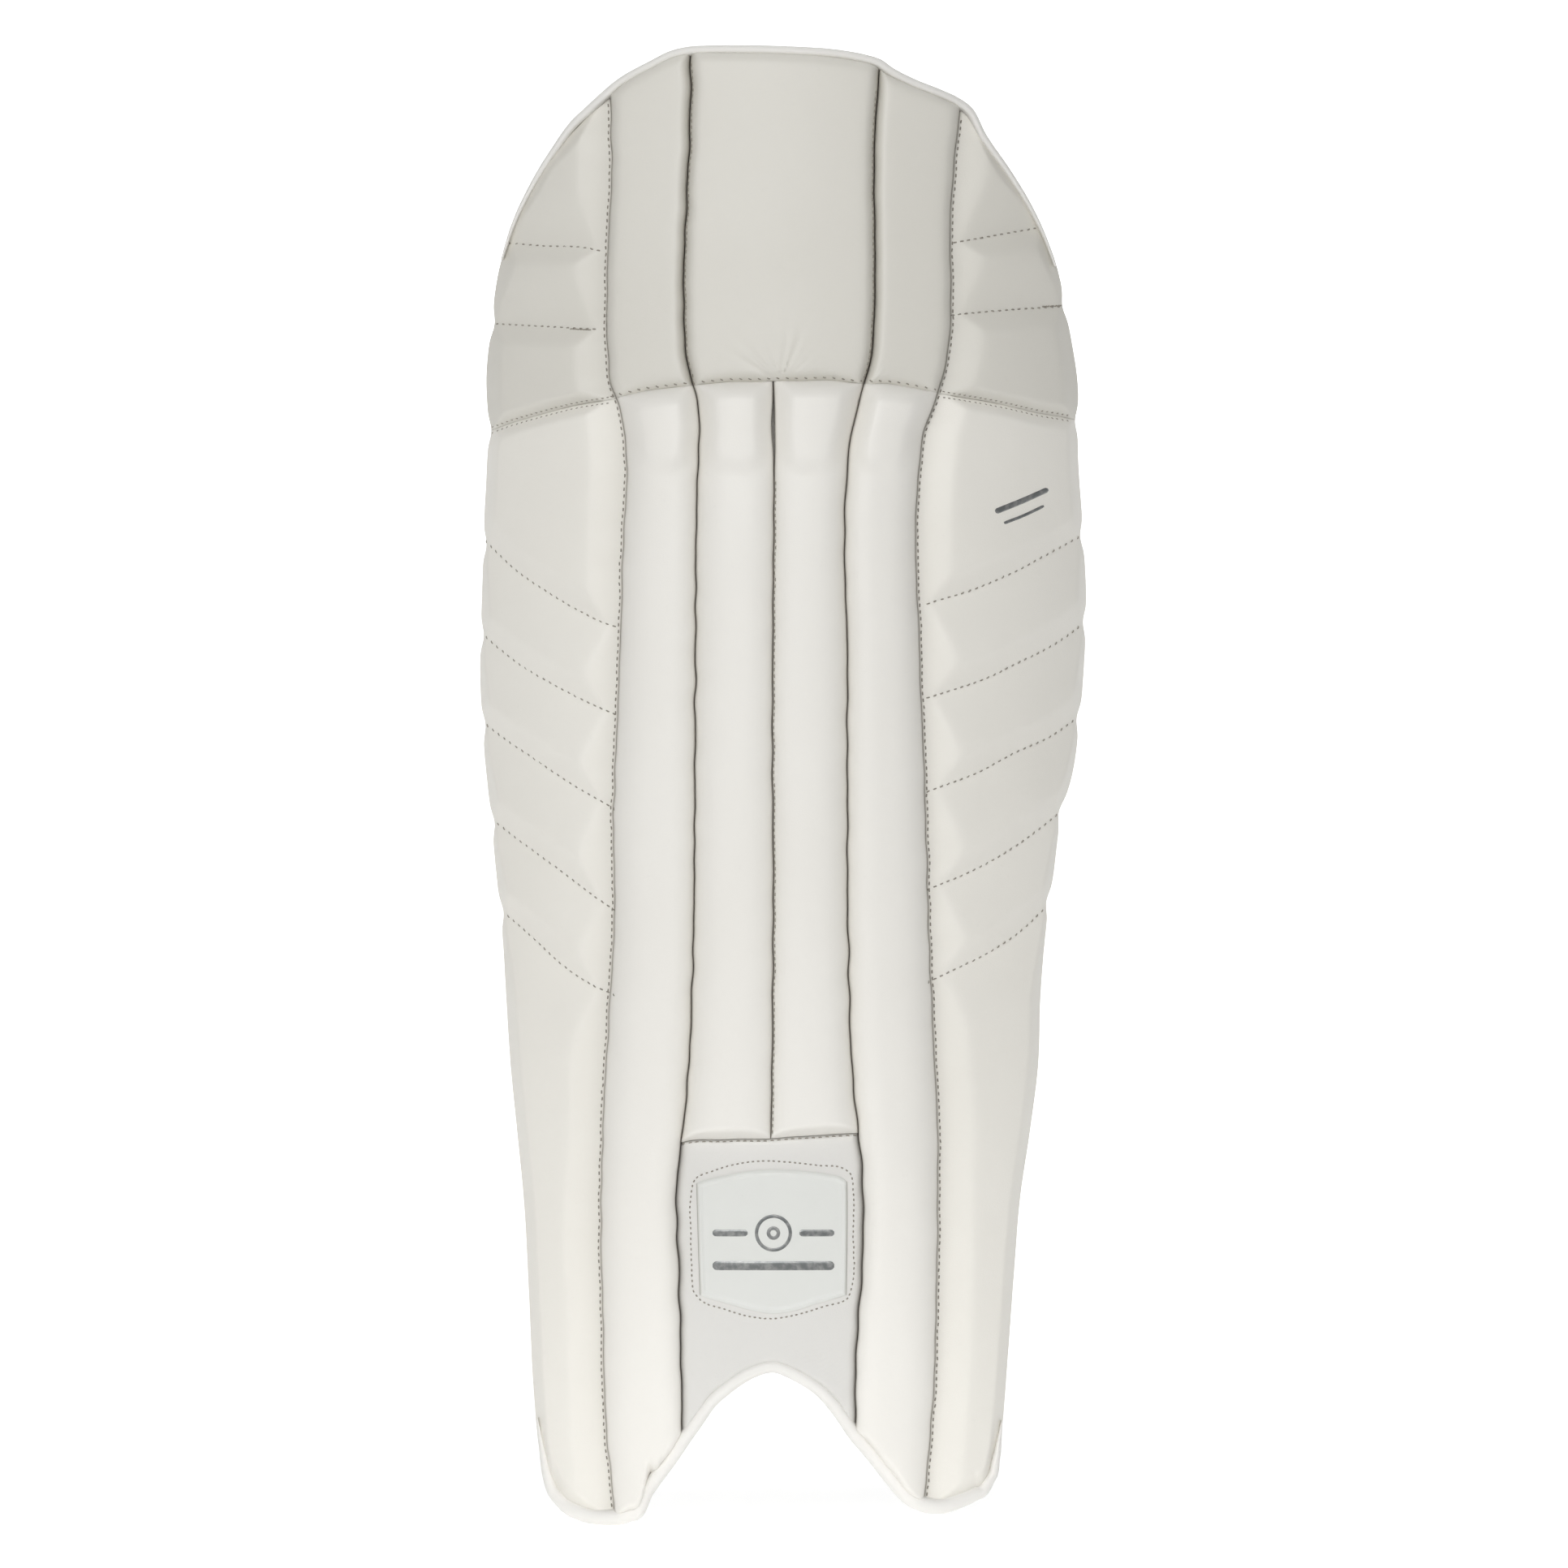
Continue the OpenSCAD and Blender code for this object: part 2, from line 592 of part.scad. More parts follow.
shin_lining();
shin_foam_sheet();
shin_roll_cover_1();
shin_roll_cover_2();
shin_roll_cover_3();
shin_roll_cover_4();
shin_roll_foam_1();
shin_roll_foam_2();
shin_roll_foam_3();
shin_roll_foam_4();
cane_rods();
knee_roll_pads();
instep_panel();
instep_foam();
badge();
left_bolster_cover();
left_bolster_foam();
right_bolster_cover();
right_bolster_foam();
knee_rest_lower_cover();
knee_rest_lower_foam();
bottom_binding();
side_bindings();
left_wing_cover();
left_wing_foam();
left_wing_lining();
right_wing_cover();
right_wing_foam();
right_wing_lining();
strap_anchors();
landing_patches();
knee_centre_cover();
knee_centre_foam();
knee_left_strip_cover();
knee_left_strip_foam();
knee_right_strip_cover();
knee_right_strip_foam();
knee_lining();
knee_rest_upper_cover();
knee_rest_upper_foam();
top_binding();
left_top_wing_cover();
left_top_wing_foam();
left_top_wing_lining();
right_top_wing_cover();
right_top_wing_foam();
right_top_wing_lining();
strap_lower_band();
strap_lower_ring();
strap_lower_tab();
strap_lower_tail();
strap_middle_band();
strap_middle_ring();
strap_middle_tab();
strap_middle_tail();
strap_upper_band();
strap_upper_ring();
strap_upper_tab();
strap_upper_tail();
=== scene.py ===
# Wicket-keeping leg pad in off-white coated leather, upright with its front towards -Y.
import math
import bmesh
import bpy
import numpy as np
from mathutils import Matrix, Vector
from mathutils.bvhtree import BVHTree


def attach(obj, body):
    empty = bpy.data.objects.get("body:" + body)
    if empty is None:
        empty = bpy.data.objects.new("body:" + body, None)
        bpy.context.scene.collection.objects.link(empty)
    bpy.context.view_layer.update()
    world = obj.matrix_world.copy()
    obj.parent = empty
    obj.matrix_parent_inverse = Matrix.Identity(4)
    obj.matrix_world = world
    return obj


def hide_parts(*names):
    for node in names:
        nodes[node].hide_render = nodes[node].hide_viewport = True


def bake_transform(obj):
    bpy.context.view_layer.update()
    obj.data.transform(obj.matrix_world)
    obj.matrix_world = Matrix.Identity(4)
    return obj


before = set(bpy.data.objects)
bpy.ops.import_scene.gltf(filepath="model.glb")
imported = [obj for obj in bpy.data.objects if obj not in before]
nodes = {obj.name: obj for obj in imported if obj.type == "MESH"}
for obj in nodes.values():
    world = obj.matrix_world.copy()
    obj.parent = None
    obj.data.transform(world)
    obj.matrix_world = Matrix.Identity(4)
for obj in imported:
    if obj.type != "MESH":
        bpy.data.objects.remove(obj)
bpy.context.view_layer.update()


# Studio: a pale paper sweep under and behind the pad, lit by broad soft lights from the front.
# The camera looks straight at the front through a long lens.
SEAT = 300.0  # height of the origin above the sole, in millimetres
MM = 0.001  # one millimetre in metres
DISTANCE, SPAN = 5.0, 0.6955  # from lens to pad, and the width seen there, in metres


class Net:
    """One material's nodes; make() adds a node with its settings and sockets."""

    def __init__(self, material):
        material.use_nodes = True
        self.tree = material.node_tree
        self.tree.nodes.clear()

    def make(self, kind, settings=(), out=0, **sockets):
        node = self.tree.nodes.new("ShaderNode" + kind)
        for key, value in dict(settings).items():
            setattr(node, key, value)
        for key, value in sockets.items():
            where = int(key[1:]) if key[0] == "i" and key[1:].isdigit() else key.replace("_", " ")
            self.put(node.inputs[where], value)
        return Value(self, node.outputs[out]) if len(node.outputs) else node

    def put(self, socket, value):
        if isinstance(value, Value):
            self.tree.links.new(value.socket, socket)
        elif hasattr(value, "__len__") and len(socket.default_value) == 4:
            socket.default_value = (*value[:3], 1)
        else:
            socket.default_value = value

    def bump(self, height, strength, distance):
        return self.make("Bump", Strength=strength, Distance=distance, Height=height)

    def principled(self, **sockets):
        self.make("OutputMaterial", Surface=self.make("BsdfPrincipled", **sockets))


class Value:
    """A socket that takes part in Python arithmetic."""

    def __init__(self, net, socket):
        self.net, self.socket = net, socket

    def _do(self, kind, *values, **more):
        return self.net.make("Math", {"operation": kind, **more},
                             **{f"i{n}": v for n, v in enumerate(values)})

    def __add__(self, o): return self._do("ADD", self, o)
    def __radd__(self, o): return self._do("ADD", o, self)
    def __sub__(self, o): return self._do("SUBTRACT", self, o)
    def __mul__(self, o): return self._do("MULTIPLY", self, o)
    def __truediv__(self, o): return self._do("DIVIDE", self, o)
    def __pow__(self, o): return self._do("POWER", self, o)
    def clamp(self): return self._do("ADD", self, 0.0, use_clamp=True)
    def sine(self): return self._do("SINE", self)
    def abs(self): return self._do("ABSOLUTE", self)


def new_material(name):
    """A material, its nodes, and the place on the object to hang textures on."""
    material = bpy.data.materials.new(name)
    net = Net(material)
    return material, net, net.make("TexCoord", out=3)


def mix(net, amount, a, b):
    return net.make("Mix", {"data_type": "RGBA"}, out=2, i0=amount, i6=a, i7=b)


def axis_of(net, place, axis):
    return net.make("SeparateXYZ", out="XYZ".index(axis), Vector=place)


def paper_sheet():
    across = np.linspace(-7, 7, 2)
    run = [(-0.35, 0), (0.3, 0), (2.0, 0), (5.5, 0)]
    run += [(5.5 + math.sin(a), 1 - math.cos(a)) for a in np.linspace(0.1, math.pi / 2, 14)]
    run += [(6.5, 6)]
    verts = [(x, y, z - SEAT / 1000 - 0.0005) for y, z in run for x in across]
    faces = [(2 * i, 2 * i + 1, 2 * i + 3, 2 * i + 2) for i in range(len(run) - 1)]
    mesh = bpy.data.meshes.new("studio_paper")
    mesh.from_pydata(verts, [], faces)
    sheet = bpy.data.objects.new("studio_paper", mesh)
    bpy.context.collection.objects.link(sheet)
    for face in mesh.polygons:
        face.use_smooth = True
    material, net, place = new_material("pale_paper")
    tone = net.make("TexNoise", Vector=place, Scale=3.0, Detail=3.0)
    # painted light: the paper glows, dimly near the front and fully further back, so its shading
    # and the pad's shadow wash out to white
    far = ((axis_of(net, place, "Y") - 0.25) / 1.2).clamp()
    glow = mix(net, far, (0.4, 0.4, 0.4), (1.0, 1.0, 1.0))
    net.principled(Base_Color=mix(net, tone, (0.93, 0.93, 0.93), (0.95, 0.95, 0.95)),
                   Roughness=0.9, Emission_Color=glow, Emission_Strength=1.0)
    mesh.materials.append(material)
    return sheet


paper_sheet()

camera = bpy.data.objects.new("camera", bpy.data.cameras.new("camera"))
bpy.context.collection.objects.link(camera)
camera.location = (0.0047, -5.02, 0.0305)
camera.rotation_euler = (math.radians(90), 0, 0)
camera.data.lens = 36 * DISTANCE / SPAN
camera.data.clip_end = 60
bpy.context.scene.camera = camera


def soft_light(name, place, size, power, aim=(0, 0, 0.05)):
    light = bpy.data.lights.new(name, "AREA")
    light.shape, light.size, light.size_y, light.energy = "RECTANGLE", size[0], size[1], power
    lamp = bpy.data.objects.new(name, light)
    bpy.context.collection.objects.link(lamp)
    lamp.location = place
    lamp.rotation_euler = (Vector(aim) - Vector(place)).to_track_quat("-Z", "Y").to_euler()


soft_light("front_light", (-0.15, -1.75, 0.7), (0.9, 0.6), 18)
soft_light("left_light", (-1.6, -2.4, 0.4), (1.0, 2.0), 8)
soft_light("right_light", (1.8, -2.2, 0.2), (1.0, 2.0), 4.5)
soft_light("paper_light", (0, 0.6, 2.4), (3.0, 1.0), 16, aim=(0, 1.6, 0))
bpy.context.scene.view_settings.view_transform = "Standard"
world = bpy.data.worlds.new("studio")
world.use_nodes = True
world.node_tree.nodes["Background"].inputs[0].default_value = (1, 1, 1, 1)
world.node_tree.nodes["Background"].inputs[1].default_value = 0.22
bpy.context.scene.world = world


# Cover leather: split leather with a white coating, finely grained, softly creased by the foam
# under it, and darkened down in the seams by painted shade.
def leather(name, light, deep, rough=0.42, grain=1.0, crease=1.0):
    material, net, place = new_material(name)
    seam = net.make("Attribute", {"attribute_name": "seam"}, out=2)
    cloud = net.make("TexNoise", Vector=place, Scale=9.0, Detail=3.0)
    pores = net.make("TexVoronoi", {"feature": "DISTANCE_TO_EDGE"}, Vector=place, Scale=950.0)
    fine = net.make("TexNoise", Vector=place, Scale=1700.0, Detail=4.0, Roughness=0.6)
    folds = net.make("TexNoise", Vector=place, Scale=60.0, Detail=6.0, Roughness=0.6,
                     Distortion=0.6)
    soft = net.make("TexNoise", Vector=place, Scale=22.0, Detail=2.0)
    worn = net.make("TexNoise", Vector=place, Scale=240.0, Detail=5.0, Roughness=0.7)
    body = mix(net, (cloud - 0.35) * 2.0, light, deep)
    speck = ((worn - 0.62) * 6.0).clamp() * 0.10
    body = mix(net, speck, body, tuple(c * 0.72 for c in deep))
    # painted shade: the seam attribute darkens the leather to a deep brown-grey in and along the
    # seams
    painted_seam_shade = (seam ** 1.3 * 0.85).clamp()
    body = mix(net, painted_seam_shade, body, (deep[0] * 0.24, deep[1] * 0.21, deep[2] * 0.17))
    height = (pores * 0.10 + fine * 0.10) * grain + (folds * 0.35 + soft * 0.9) * crease
    net.principled(Base_Color=body, Normal=net.bump(height, 0.42, 0.0009),
                   Roughness=rough + fine * 0.10 + worn * 0.05)
    return material


cover_leather = leather("cover_leather", (0.840, 0.820, 0.762), (0.812, 0.790, 0.730))
# painted shade and light: the knee leather is the cover leather darkened for the dimmer light
# above the knee, the roll leather is it lightened for the brighter light on the rolls
knee_leather_painted_shade = leather("knee_leather_painted_shade", (0.715, 0.697, 0.640), (0.690, 0.671, 0.612))
roll_leather_painted_light = leather("roll_leather_painted_light", (0.860, 0.842, 0.795), (0.836, 0.816, 0.765))


# Shin rolls: four upright tubes of soft leather over foam and cane, sewn side by side. Each has a
# small extra pad at its top end, which stands out as a rounded puff under the knee seam.
def smooth_curve(points):
    """A smooth function through hand-set points, flat-ended outside them."""
    p = np.array(sorted(points), float)
    x, y = p[:, 0], p[:, 1]
    slope = np.gradient(y, x)

    def value(q):
        q = np.clip(np.asarray(q, float), x[0], x[-1])
        i = np.clip(np.searchsorted(x, q) - 1, 0, len(x) - 2)
        w = x[i + 1] - x[i]
        s = (q - x[i]) / w
        return ((2 * s**3 - 3 * s**2 + 1) * y[i] + (s**3 - 2 * s**2 + s) * w * slope[i]
                + (3 * s**2 - 2 * s**3) * y[i + 1] + (s**3 - s**2) * w * slope[i + 1])
    return value


def ripple(x, h, size, seed):
    """Smooth unevenness of about one, from a few crossed waves."""
    rng = np.random.default_rng(seed)
    total = 0
    for _ in range(7):
        a, p, f = rng.uniform(0, 6.283), rng.uniform(0, 6.283), rng.uniform(0.6, 1.6)
        total = total + np.sin((x * np.cos(a) + h * np.sin(a)) * f * 6.283 / size + p)
    return total / 3.7


def hand_sewn(curve, seed, size=0.28):
    """The same line with the slight waver of a seam sewn by hand."""
    return lambda q: curve(q) + size * ripple(np.asarray(q, float), 0.0, 22, seed)


# upright seams as (height above the sole, across), in millimetres
seam_left_outer = smooth_curve([
    (0, -70), (15, -71.6), (37, -74), (90, -76), (147, -76.7), (174, -76), (239, -72.6),
    (261, -71.1), (318, -71.1), (378, -68.8), (438, -66.8), (473, -65.3), (485, -66.2),
    (497, -68), (509, -72.3), (521, -73.8), (552, -74.2), (610, -72), (650, -73)])
seam_left_inner = smooth_curve([
    (20, -40.5), (76, -41.4), (110, -42.1), (158, -42.7), (176, -40.3), (203, -37.8), (247, -36),
    (320, -34.9), (384, -34.6), (461, -34), (480, -33.3), (503, -34.2), (510, -36.6),
    (522, -38.7), (546, -39.8), (594, -38.3), (627, -37), (660, -36.9)])
seam_middle = smooth_curve([
    (160, -1.4), (203, -0.7), (261, 0), (384, -0.4), (459, 0.3), (507, 0), (520, 0)])
seam_right_inner = smooth_curve([
    (20, 36.3), (91, 37.8), (110, 39.2), (163, 39.2), (184, 36.7), (217, 34.4), (254, 33.4),
    (384, 32.9), (476, 33.4), (488, 35), (508, 40.2), (523, 43.6), (546, 45), (613, 45),
    (655, 47.6)])
seam_right_outer = smooth_curve([
    (0, 66), (22, 68.2), (56, 71.1), (85, 72), (145, 73.2), (174, 73.2), (199, 72), (242, 70),
    (284, 68.6), (330, 67.2), (384, 65.2), (473, 65), (488, 67.2), (505, 73.2), (521, 77.3),
    (540, 79), (575, 78.7), (603, 80.2), (623, 82.1), (650, 86)])
# seams across and the lower edge as (across, height above the sole)
knee_seam = smooth_curve([
    (-140, 485), (-126, 489.5), (-107, 495), (-90, 499), (-72, 502), (-55, 505.5), (-38, 507.3),
    (-19, 509), (0, 509.3), (19, 509.8), (40, 508.5), (58, 507.5), (72, 504.8), (101, 500.5),
    (116, 497.5), (135, 494.5), (145, 492)])
instep_seam = smooth_curve([
    (-45, 169.8), (-37, 171.9), (-19, 172.7), (0, 173), (19, 174.5), (38, 175.3), (45, 175.5)])
lower_edge = smooth_curve([
    (-104, 20), (-102, 15), (-97, 8), (-86, 1.5), (-75, 0), (-64, 1.5), (-57, 6), (-54, 13),
    (-50, 19), (-44, 27), (-38, 36), (-32, 44.5), (-26, 53), (-19, 59.5), (-8, 66.5), (0, 68.5),
    (7, 66), (14, 62), (20, 57.5), (27, 49), (33, 40), (41, 30.5), (50, 19), (58, 10), (66, 6),
    (75, 5), (83, 7), (90, 10), (97, 15), (101, 24)])


seam_left_outer = hand_sewn(seam_left_outer, 51)
seam_left_inner = hand_sewn(seam_left_inner, 52, 0.34)
seam_middle = hand_sewn(seam_middle, 53)
seam_right_inner = hand_sewn(seam_right_inner, 54, 0.34)
seam_right_outer = hand_sewn(seam_right_outer, 55)
knee_seam = hand_sewn(knee_seam, 56)
instep_seam = hand_sewn(instep_seam, 57, 0.2)


def back_depth(x):
    """How far back the lining's rear face lies, in millimetres."""
    x = np.abs(np.asarray(x, float))
    shin = 205 - np.sqrt(205**2 - np.minimum(x, 70) ** 2)
    wing = 153.3 - np.sqrt(150**2 - np.clip(x - 18.8, 0, 145) ** 2)
    return np.where(x <= 70, shin, wing)


def slope_of(curve, q):
    return curve(q + 0.5) - curve(q - 0.5)


def away(curve, x, h):
    """Signed distance above a seam that runs across."""
    return (h - curve(x)) / np.sqrt(1 + slope_of(curve, x) ** 2)


def least(k, *terms):
    """Soft minimum: k is the size of the rounding, in millimetres."""
    stack = np.stack(np.broadcast_arrays(*terms))
    low = stack.min(0)
    return low - k * np.log(np.exp(-(stack - low) / k).sum(0))


def rise(d, width, low, top):
    """Quarter-round shoulder from low at the seam to top at that distance."""
    s = np.clip(d / width, 0, 1)
    return low + (top - low) * np.sqrt(np.clip(1 - (1 - s) ** 2, 0, 1))


def swell(d, width, low, top):
    """Gentle shoulder: a shallow stitched seam, with no fold in it."""
    return low + (top - low) * np.sin(np.pi / 2 * np.clip(d / width, 0, 1))


def ease(s):
    s = np.clip(s, 0, 1)
    return s * s * (3 - 2 * s)


def even_steps(n, ends):
    """Steps from 0 to 1 that crowd towards both ends."""
    s = np.linspace(0, 1, n)
    return (1 - ends) * s + ends * (0.5 - 0.5 * np.cos(np.pi * s))


def finish_mesh(name, verts, faces, material, angle=50):
    mesh = bpy.data.meshes.new(name)
    mesh.from_pydata([tuple(v) for v in verts], [], faces)
    mesh.update()
    work = bmesh.new()
    work.from_mesh(mesh)
    bmesh.ops.recalc_face_normals(work, faces=work.faces)
    work.to_mesh(mesh)
    work.free()
    for face in mesh.polygons:
        face.use_smooth = True
    mesh.set_sharp_from_angle(angle=math.radians(angle))
    mesh.materials.append(material)
    piece = bpy.data.objects.new(name, mesh)
    bpy.context.collection.objects.link(piece)
    return piece


def shell(across, tall):
    """Faces of a closed cushion: its front quads and the wall down to the copy behind them."""
    grid = np.arange(across * tall).reshape(tall, across)
    quads = np.stack([grid[:-1, :-1], grid[:-1, 1:], grid[1:, 1:], grid[1:, :-1]], -1)
    rim = np.concatenate([grid[0], grid[1:, -1], grid[-1, -2::-1], grid[-2:0:-1, 0]])
    after = np.roll(rim, -1)
    behind = across * tall
    return quads.reshape(-1, 4), np.stack([rim, rim + behind, after + behind, after], -1)


skins = []  # front faces of the covers, which the stitching is laid on
SNUG = 0.04  # gap round each cover
LIP = 4.6  # how far inside the lower edge the covers stop, under the binding


def panel(name, left, right, low, high, depth, material, across, tall, back, gap=SNUG,
          cover=True, free=None):
    """A closed padded panel between two upright and two level seams; depth gives its front.

    A cover gets painted shade down in its seams and carries stitching; free names a side with no
    seam.
    """
    u, v = np.meshgrid(even_steps(across, 0.75), even_steps(tall, 0.35))
    x = np.zeros_like(u) + (left(300.0) + right(300.0)) / 2
    for _ in range(14):
        h = low(x) + gap + (high(x) - low(x) - 2 * gap) * v
        x = left(h) + gap + (right(h) - left(h) - 2 * gap) * u
    t = depth(x, h)
    front = np.stack([x, back_depth(x) - t, h - SEAT], -1)
    rear_t = np.minimum(back(x, h) if callable(back) else back, t - 0.8)
    rear = np.stack([x, back_depth(x) - rear_t, h - SEAT], -1)
    verts = np.concatenate([front.reshape(-1, 3), rear.reshape(-1, 3)]) * MM
    quads, wall = shell(across, tall)
    faces = np.concatenate([quads, quads[:, ::-1] + across * tall, wall]).tolist()
    piece = finish_mesh(name, verts, faces, material)
    sides = np.minimum(x - left(h) if free != "left" else 99.0,
                       right(h) - x if free != "right" else 99.0)
    sides = np.clip(sides, 0, None)
    ends = np.clip(np.minimum(away(low, x, h), -away(high, x, h)), 0, None)
    # painted shade along the seams: full at the upright seams, faint along the level ends
    mark = np.maximum(np.exp(-sides / 0.38), 0.14 * np.exp(-ends / 0.5)) * cover
    mark = np.broadcast_to(mark, x.shape).ravel()
    seam = piece.data.attributes.new("seam", "FLOAT", "POINT")
    seam.data.foreach_set("value", np.concatenate([mark, mark]).astype(np.float32))
    if cover:
        skins.append((front.reshape(-1, 3) * MM, quads))
    return piece


def knee_bend(piece):
    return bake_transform(piece)


seam_depth = [9.0, 9.5, 12.0, 9.5, 9.0]  # how far each upright shin seam stands off the lining
roll_seams = [seam_left_outer, seam_left_inner, seam_middle, seam_right_inner, seam_right_outer]
knee_depth = 16.0


def roll_depth(i):
    a, b = roll_seams[i], roll_seams[i + 1]
    outer = i in (0, 3)

    def depth(x, h):
        da, db = x - a(h), b(h) - x
        s = np.clip((da - db) / (da + db), -1, 1)
        side = np.where(s < 0, seam_depth[i], seam_depth[i + 1])
        mid = 22.0 - 5.0 * ease((150 - h) / 150) * outer + 0.35 * ripple(x, h, 70, 3 + i)
        t = side + (mid - side) * np.sqrt(np.clip(1 - np.abs(s) ** 2.7, 0, 1))
        top = -away(knee_seam, x, h)
        t = least(1.8, t, swell(top, 9.0, knee_depth + 0.8, mid + 4))
        foot = (away(lower_edge, x, h) - 5.0) if outer else away(instep_seam, x, h)
        t = least(0.8, t, rise(foot, 9.0, 9.0, mid + 3) if outer else
                  swell(foot, 8.0, 12.0, mid + 3))
        half_w = (b(h) - a(h)) / 2 - 4.2
        qx = np.abs(x - (a(h) + b(h)) / 2) - (half_w - 9)
        qh = (470 + 9) - h
        d = -(np.hypot(np.maximum(qx, 0), np.maximum(qh, 0))
              + np.minimum(np.maximum(qx, qh), 0) - 9)
        return t + 2.9 * ease((d + 3) / 8.5) * ease(top / 9)
    return depth


def lobe_line(x):
    return lower_edge(x) + LIP * np.sqrt(1 + np.minimum(slope_of(lower_edge, x) ** 2, 2.2))


def parted(side):
    """The middle seam, pulled open a little just under the knee."""
    return lambda h: seam_middle(h) + side * 0.75 * np.exp(
        -((np.asarray(h, float) - 489) / 13) ** 2)


for i in range(4):
    low = lobe_line if i in (0, 3) else instep_seam
    a = parted(1) if i == 2 else roll_seams[i]
    b = parted(-1) if i == 1 else roll_seams[i + 1]
    roll = panel(f"shin_roll_{i + 1}", a, b, low, knee_seam, roll_depth(i), roll_leather_painted_light,
                 across=44, tall=300 if i in (0, 3) else 240, back=5.8)
    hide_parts(f"shin_roll_cover_{i + 1}", f"shin_roll_foam_{i + 1}")
    knee_bend(roll)
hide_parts("knee_roll_pads")


# Wings: moulded foam under leather, quilted by five slanting lines on each side. Each block
# stands proud above its line and falls to it in a short bevel; the inner bevel faces forward.
edge_left = smooth_curve([
    (0, -88), (8, -97), (15, -101.5), (30, -104.5), (60, -107.5), (100, -109.5), (145, -112),
    (175, -115), (205, -118), (235, -120), (260, -121.5), (290, -124.5), (320, -127.5),
    (350, -130.5), (380, -132), (420, -131), (445, -130.3), (475, -128.8), (490, -128.3),
    (515, -129), (535, -127), (560, -123.5), (580, -118), (600, -108.5), (615, -99), (628, -89),
    (640, -77), (650, -66)])
edge_right = smooth_curve([
    (0, 76), (8, 88), (14, 96), (25, 100.5), (45, 102.6), (75, 105), (115, 108), (145, 110.5),
    (175, 115), (205, 118.8), (235, 119.8), (262, 122), (290, 125.8), (318, 129.8), (335, 134.5),
    (360, 138), (385, 140), (405, 141), (440, 139.8), (475, 137.3), (515, 136.5), (534, 133.3),
    (548, 130.8), (563, 127.2), (577, 122.2), (592, 114.5), (606, 105), (620, 95), (628, 90.5),
    (640, 79), (650, 66)])
quilt_left = [
    [(-140, 452), (-128.5, 439), (-115, 426), (-102, 417), (-88, 408.5), (-74.5, 402), (-60, 398)],
    [(-140, 408), (-130, 397.5), (-115, 385), (-97.5, 374.5), (-83, 367), (-70.5, 361.5),
     (-60, 357)],
    [(-140, 366), (-129.5, 357.5), (-120, 350.5), (-105, 340.5), (-91, 331), (-72, 320),
     (-60, 312)],
    [(-140, 326), (-124, 313), (-110, 302.5), (-96, 292.5), (-82, 282), (-72, 275), (-60, 267)],
    [(-140, 288), (-121, 273), (-108.5, 262.5), (-92, 248), (-80, 240.5), (-74.5, 238),
     (-60, 233)]]
quilt_right = [
    [(60, 407), (69.5, 411), (87, 416.5), (106, 424.5), (125.5, 435), (139, 442.5), (150, 449)],
    [(60, 366), (67.5, 368.5), (78.5, 372), (92, 376.5), (111, 385.5), (126.5, 393.5),
     (140.5, 403.5), (150, 411)],
    [(60, 323), (67.5, 326.5), (92, 336), (108, 344.5), (124.5, 352), (137, 360.5), (150, 369)],
    [(60, 279), (69, 283.5), (87, 291), (101.5, 298.5), (116, 308), (129.5, 318.5), (150, 333)],
    [(60, 238), (70.5, 243), (79, 247), (96.5, 255.5), (111, 265), (124.5, 277.5), (150, 300)]]
quilt_left = [smooth_curve(q) for q in quilt_left]
quilt_right = [smooth_curve(q) for q in quilt_right]
tucks_left = [573, 537, 489, 438, 397, 357, 313, 273]
tucks_right = [580, 545, 494, 442, 403.6, 360, 318, 277.6]


def tucked(edge, tucks, side):
    """The outer edge, drawn in a little where a quilting line reaches it."""
    def value(h):
        pull = sum(np.exp(-((np.asarray(h, float) - k) / 5.5) ** 2) for k in tucks)
        return edge(h) - side * 1.5 * pull
    return value


outer_left = tucked(edge_left, tucks_left, -1)
outer_right = tucked(edge_right, tucks_right, 1)
SIDES = {-1: ("left", seam_left_outer, outer_left), 1: ("right", seam_right_outer, outer_right)}
WING = 15.0  # depth of the blocks
BEVEL = 9.5  # width of the slopes between them


def quilted(side, seed, inner, outer, quilts, line, ends):
    """Depth of a wing: flat blocks that slope down to the seam, the edge and every line.

    inner is (depth, climb, width), outer (depth, slope), line (depth, climb above, climb below)
    and each of the ends (depth, slope, curve, how far inside it).
    """
    _, seam, edge = SIDES[side]

    def depth(x, h):
        t = [WING + 0.3 * ripple(x, h, 60, seed) + 0 * x]
        t.append(inner[0] + inner[1] * side * (x - seam(h)) / inner[2])
        t.append(outer[0] + outer[1] * side * (edge(h) - x))
        for q in quilts:
            d = away(q, x, h)
            t.append(line[0] + np.where(d > 0, line[1] * d / BEVEL, -line[2] * d / BEVEL))
        for low, slope, curve, inside in ends:
            t.append(low + slope * (away(curve, x, h) - inside))
        return least(0.45, *t)
    return depth


for side, (word, seam, edge) in SIDES.items():
    a, b = (seam, edge)[::side]
    depth = quilted(side, 11 + side, (seam_depth[0] - 2.0, 7.2, 14.5), (8.0, 1.5),
                    quilt_left if side < 0 else quilt_right, (9.4, 6.0, 2.2),
                    ((9.5, -1.1, knee_seam, 0.0), (8.5, 0.9, lower_edge, LIP)))
    wing = panel(f"{word}_wing", a, b, lobe_line, knee_seam, depth, cover_leather,
                 across=60, tall=380, back=1.8, free=word)
    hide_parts(f"{word}_wing_cover", f"{word}_wing_foam")
    knee_bend(wing)


